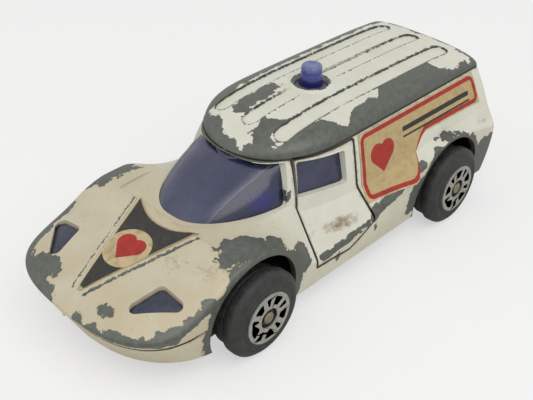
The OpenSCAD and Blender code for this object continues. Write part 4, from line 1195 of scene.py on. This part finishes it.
def hub_trim_tree():
    """Silver trim ring: five wide and five narrow openings repeated round a disc."""
    tree = bpy.data.node_groups.new("hub_trim_openings", "GeometryNodeTree")
    sizes = (("Radius", HUB_R * MM), ("Bore", (HUB_HOLE_R + 0.05) * MM), ("Opening foot", (HUB_R - 2.4) * MM),
             ("Opening top", (HUB_R - 0.7) * MM), ("Thickness", TRIM_T * MM),
             ("Wide spread", math.radians(17)), ("Narrow spread", math.radians(8)))
    for label, value in sizes:
        socket = tree.interface.new_socket(label, in_out="INPUT", socket_type="NodeSocketFloat")
        socket.default_value = value
    tree.interface.new_socket("Count", in_out="INPUT", socket_type="NodeSocketInt").default_value = 5
    tree.interface.new_socket("Foil", in_out="INPUT", socket_type="NodeSocketMaterial")
    tree.interface.new_socket("Geometry", in_out="OUTPUT", socket_type="NodeSocketGeometry")
    group = tree.nodes.new("NodeGroupInput").outputs
    tall = add_node(tree, "ShaderNodeMath", {0: group["Thickness"], 1: 4.0}, operation="MULTIPLY")
    disc, bore = (add_node(tree, "GeometryNodeMeshCylinder",
                           {"Vertices": 96, "Radius": group[radius], "Depth": depth}, out="Mesh")
                  for radius, depth in (("Radius", group["Thickness"]), ("Bore", tall)))
    turn = add_node(tree, "ShaderNodeMath", {0: 2 * math.pi, 1: group["Count"]}, operation="DIVIDE")
    cutters = [bore]
    for spread, offset in (("Wide spread", 0.0), ("Narrow spread", 0.5)):
        block_size = add_node(tree, "ShaderNodeCombineXYZ", {"X": 1.0, "Y": 1.0, "Z": tall})
        block = add_node(tree, "GeometryNodeMeshCube",
                         {"Size": block_size, "Vertices X": 13, "Vertices Y": 7, "Vertices Z": 2}, out="Mesh")
        place = add_node(tree, "GeometryNodeInputPosition")
        split = add_node(tree, "ShaderNodeSeparateXYZ", {"Vector": place}).node.outputs
        end = add_node(tree, "ShaderNodeMath", {0: split["X"], 1: 2.0}, operation="MULTIPLY")
        ends = add_node(tree, "ShaderNodeMath", {0: end, 1: 6.0}, operation="POWER")
        rounding = add_node(tree, "ShaderNodeMath", {0: ends, 1: -0.35, 2: 1.0}, operation="MULTIPLY_ADD")
        shallow = add_node(tree, "ShaderNodeMath", {0: split["Y"], 1: rounding}, operation="MULTIPLY")
        share = add_node(tree, "ShaderNodeMath", {0: shallow, 1: 0.5}, operation="ADD")
        radius = add_node(tree, "ShaderNodeMapRange",
                          {"Value": share, 3: group["Opening foot"], 4: group["Opening top"]})
        taper = add_node(tree, "ShaderNodeMapRange", {"Value": share, 3: 0.6, 4: 1.0})
        wide = add_node(tree, "ShaderNodeMath", {0: end, 1: group[spread]}, operation="MULTIPLY")
        angle = add_node(tree, "ShaderNodeMath", {0: wide, 1: taper}, operation="MULTIPLY")
        round_x, round_y = (add_node(tree, "ShaderNodeMath", {0: angle}, operation=kind)
                            for kind in ("COSINE", "SINE"))
        at_x, at_y = (add_node(tree, "ShaderNodeMath", {0: radius, 1: part}, operation="MULTIPLY")
                      for part in (round_x, round_y))
        spot = add_node(tree, "ShaderNodeCombineXYZ", {"X": at_x, "Y": at_y, "Z": split["Z"]})
        opening = add_node(tree, "GeometryNodeSetPosition", {"Geometry": block, "Position": spot})
        points = add_node(tree, "GeometryNodeMeshLine", {"Count": group["Count"], "Offset": (0, 0, 0)})
        index = add_node(tree, "GeometryNodeInputIndex")
        moved = add_node(tree, "ShaderNodeMath", {0: index, 1: offset}, operation="ADD")
        turned = add_node(tree, "ShaderNodeMath", {0: moved, 1: turn}, operation="MULTIPLY")
        rotation = add_node(tree, "ShaderNodeCombineXYZ", {"Z": turned})
        ring = add_node(tree, "GeometryNodeInstanceOnPoints",
                        {"Points": points, "Instance": opening, "Rotation": rotation})
        cutters.append(add_node(tree, "GeometryNodeRealizeInstances", {"Geometry": ring}))
    trim = disc
    for cutter in cutters:
        trim = add_node(tree, "GeometryNodeMeshBoolean", {0: trim, 1: cutter}, operation="DIFFERENCE",
                        solver="MANIFOLD")
    whole = add_node(tree, "GeometryNodeRealizeInstances", {"Geometry": trim})
    foiled = add_node(tree, "GeometryNodeSetMaterial", {"Geometry": whole, "Material": group["Foil"]})
    output = tree.nodes.new("NodeGroupOutput")
    tree.links.new(foiled, output.inputs["Geometry"])
    return tree


def make_hub_trim(name, tree, x, side, turn):
    """One trim ring, turned to its own place on its wheel."""
    trim = bpy.data.objects.new(name + "_foil", bpy.data.meshes.new(name + "_foil"))
    bpy.context.scene.collection.objects.link(trim)
    modifier = trim.modifiers.new("openings", "NODES")
    modifier.node_group = tree
    foil = next(s for s in tree.interface.items_tree if s.name == "Foil" and s.in_out == "INPUT")
    modifier[foil.identifier] = hub_foil
    take_mesh(trim)
    upright = Matrix.Rotation(math.radians(-90 * side), 4, "X") @ Matrix.Rotation(math.radians(turn), 4, "Z")
    seat = Matrix.Translation(Vector((x, side * (HUB_FACE - TRIM_T / 2), AXLE_Z)) * MM)
    trim.data.transform(seat @ upright)
    return smooth(trim, 30)


# Materials, named after what they are made of
enamel = chipped_enamel()
tinted = tinted_polystyrene()
beacon_blue = beacon_polystyrene()
# Moulded plastic holds dust: a dark colour greyed in patches
PLASTIC = {"patches": (0.42, 0.75), "relief": (0.25, 0.05)}
lamp_dark = mottled("lamp_polystyrene", "#23283A", "#5A6070", 1.2, 0.28, share=0.35, **PLASTIC)
seat_cream = mottled("seat_polystyrene", "#8C8068", "#B8AE96", 3.0, 0.45, share=0.35, **PLASTIC)
wheel_black = mottled("wheel_polypropylene", "#1B1B1C", "#5C5850", 1.4, 0.5, share=0.4, **PLASTIC)
# Unpainted metal left to dull: mottled grey with a soft sheen
METAL = {"patches": (0.35, 0.68), "relief": (0.2, 0.04)}
base_zinc = mottled("base_zinc_casting", "#4C4F4A", "#6E716B", 1.5, 0.45, metallic=0.6, **METAL)
axle_steel = mottled("axle_steel", "#6E6552", "#A0967C", 0.8, 0.35, metallic=0.8, **METAL)
hub_foil = mottled("hub_foil", "#8F8F86", "#B4B4AA", 0.7, 0.4, metallic=0.5, **METAL)
# Paper: flat ink, foxed and rubbed
bonnet_paper = printed_paper("bonnet_paper", "#1E1E1C", (
    ("border", "#B5A27A", 0.1), ("roundel", "#C8B48A", 0.12), ("emblem", "#A8281E", 0.04)), "#4A3F30")
side_paper = printed_paper("side_paper", "#BFA878", (
    ("outline", "#A8281E", 0.06), ("margin", "#C9B78E", 0.2), ("emblem", "#A8281E", 0.06),
    ("bars", "#22201E", 0.06)), "#8A6E46")

body = smooth(make_body())
keep_values(body, **paint_fields(corners_of(body)))
dress(body, enamel, "chassis", "enamel_casting", "body_casting")
dress(make_glazing(), tinted, "chassis", "tinted_windows", "window_glazing")
dress(make_beacon(), beacon_blue, "chassis", "beacon_plastic", "roof_beacon")
dress(softened("seat_moulding", 0.5, 3), seat_cream, "chassis", "seat_plastic", "seat_moulding")
dress(softened("base_plate", 0.2), base_zinc, "chassis", "bare_base", "base_plate")
dress(make_bonnet_label(), bonnet_paper, "chassis", "bonnet_paper", "bonnet_label")
for side, hand in ((1, "left"), (-1, "right")):
    dress(make_lens(side), lamp_dark, "chassis", "lamp_insert", "headlamp_lens_" + hand)
    dress(make_side_label(side), side_paper, "chassis", "side_paper", "side_label_" + hand)

trim_tree = hub_trim_tree()
for end, x in (("front", FRONT_X), ("rear", REAR_X)):
    axle = end + "_axle"
    dress(make_axle(axle, x), axle_steel, axle, "axle_steel", axle)
    for side, hand in ((1, "left"), (-1, "right")):
        wheel = f"{end}_{hand}_wheel"
        trim = f"{end}_{hand}_hub_trim"
        turn = 20 if end == "front" else 55
        dress(make_wheel(wheel + "_tyre", x, side), wheel_black, wheel, "wheel_plastic", wheel)
        dress(make_hub_trim(trim, trim_tree, x, side, turn), hub_foil, wheel, "hub_foil", trim)


# Floor, light and camera
def pale_floor():
    """White sweep: keeps the soft shadow under the wheels and is otherwise as white as the background."""
    material, tree, _ = new_material("white_paper_sweep")
    matt = add_node(tree, "ShaderNodeBsdfDiffuse", {"Color": linear("#F4F4F2")})
    plain = add_node(tree, "ShaderNodeEmission", {"Color": linear("#FFFFFF"), "Strength": 1.0})
    seen = add_node(tree, "ShaderNodeLightPath", out="Is Camera Ray")
    share = add_node(tree, "ShaderNodeMath", {0: seen, 1: 0.55}, operation="MULTIPLY")
    mixed = add_node(tree, "ShaderNodeMixShader", {0: share, 1: matt, 2: plain})
    add_node(tree, "ShaderNodeOutputMaterial", {"Surface": mixed})
    return material


floor_z = (AXLE_Z - TYRE_R) * MM - 0.00005
floor_mesh = bpy.data.meshes.new("floor")
floor_corners = [(x, y, floor_z) for x, y in ((-2, -2), (2, -2), (2, 2), (-2, 2))]
floor_mesh.from_pydata(floor_corners, [], [(0, 1, 2, 3)])
floor_mesh.materials.append(pale_floor())
floor = bpy.data.objects.new("floor", floor_mesh)
bpy.context.scene.collection.objects.link(floor)

world = bpy.data.worlds.new("studio")
bpy.context.scene.world = world
world.use_nodes = True
sky = world.node_tree
sky.nodes.clear()
rays = add_node(sky, "ShaderNodeLightPath").node.outputs
seen = rays["Is Camera Ray"]
for kind in ("Is Glossy Ray", "Is Transmission Ray"):
    seen = add_node(sky, "ShaderNodeMath", {0: seen, 1: rays[kind]}, operation="MAXIMUM")
strength = add_node(sky, "ShaderNodeMapRange", {"Value": seen, 3: 0.5, 4: 1.0})
background = add_node(sky, "ShaderNodeBackground", {"Color": linear("#FFFFFF"), "Strength": strength})
add_node(sky, "ShaderNodeOutputWorld", {"Surface": background})


def soft_light(name, place, size, energy):
    """Square light panel aimed at the middle of the toy."""
    panel = bpy.data.lights.new(name, "AREA")
    panel.size = size
    panel.energy = energy
    lamp = bpy.data.objects.new(name, panel)
    lamp.location = place
    lamp.rotation_euler = (-Vector(place)).to_track_quat("-Z", "Y").to_euler()
    bpy.context.scene.collection.objects.link(lamp)


soft_light("key_panel", (0.1, 0.3, 0.5), 0.5, 1.5)
soft_light("fill_panel", (0.45, -0.25, 0.4), 0.5, 0.5)


def aimed_camera(place, azimuth, elevation, roll, lens):
    """Camera at a place in millimetres; azimuth 0 looks along +Y, and angles are in degrees."""
    azimuth, elevation, roll = (math.radians(a) for a in (azimuth, elevation, roll))
    right = Vector((math.cos(azimuth), math.sin(azimuth), 0))
    back = Vector((math.sin(azimuth) * math.cos(elevation), -math.cos(azimuth) * math.cos(elevation),
                   math.sin(elevation)))
    up = back.cross(right)
    columns = (right * math.cos(roll) + up * math.sin(roll),
               up * math.cos(roll) - right * math.sin(roll), back)
    eye = bpy.data.cameras.new("camera")
    eye.sensor_width = 36
    eye.lens = lens
    eye.clip_start = 0.005
    camera = bpy.data.objects.new("camera", eye)
    camera.matrix_world = Matrix.Translation(Vector(place) * MM) @ Matrix(columns).transposed().to_4x4()
    bpy.context.scene.collection.objects.link(camera)
    return camera


bpy.context.scene.camera = aimed_camera((109.412, 99.314, 113.165), 132.565, 34.809, 1.852, 62.13)
bpy.context.scene.view_settings.view_transform = "Standard"
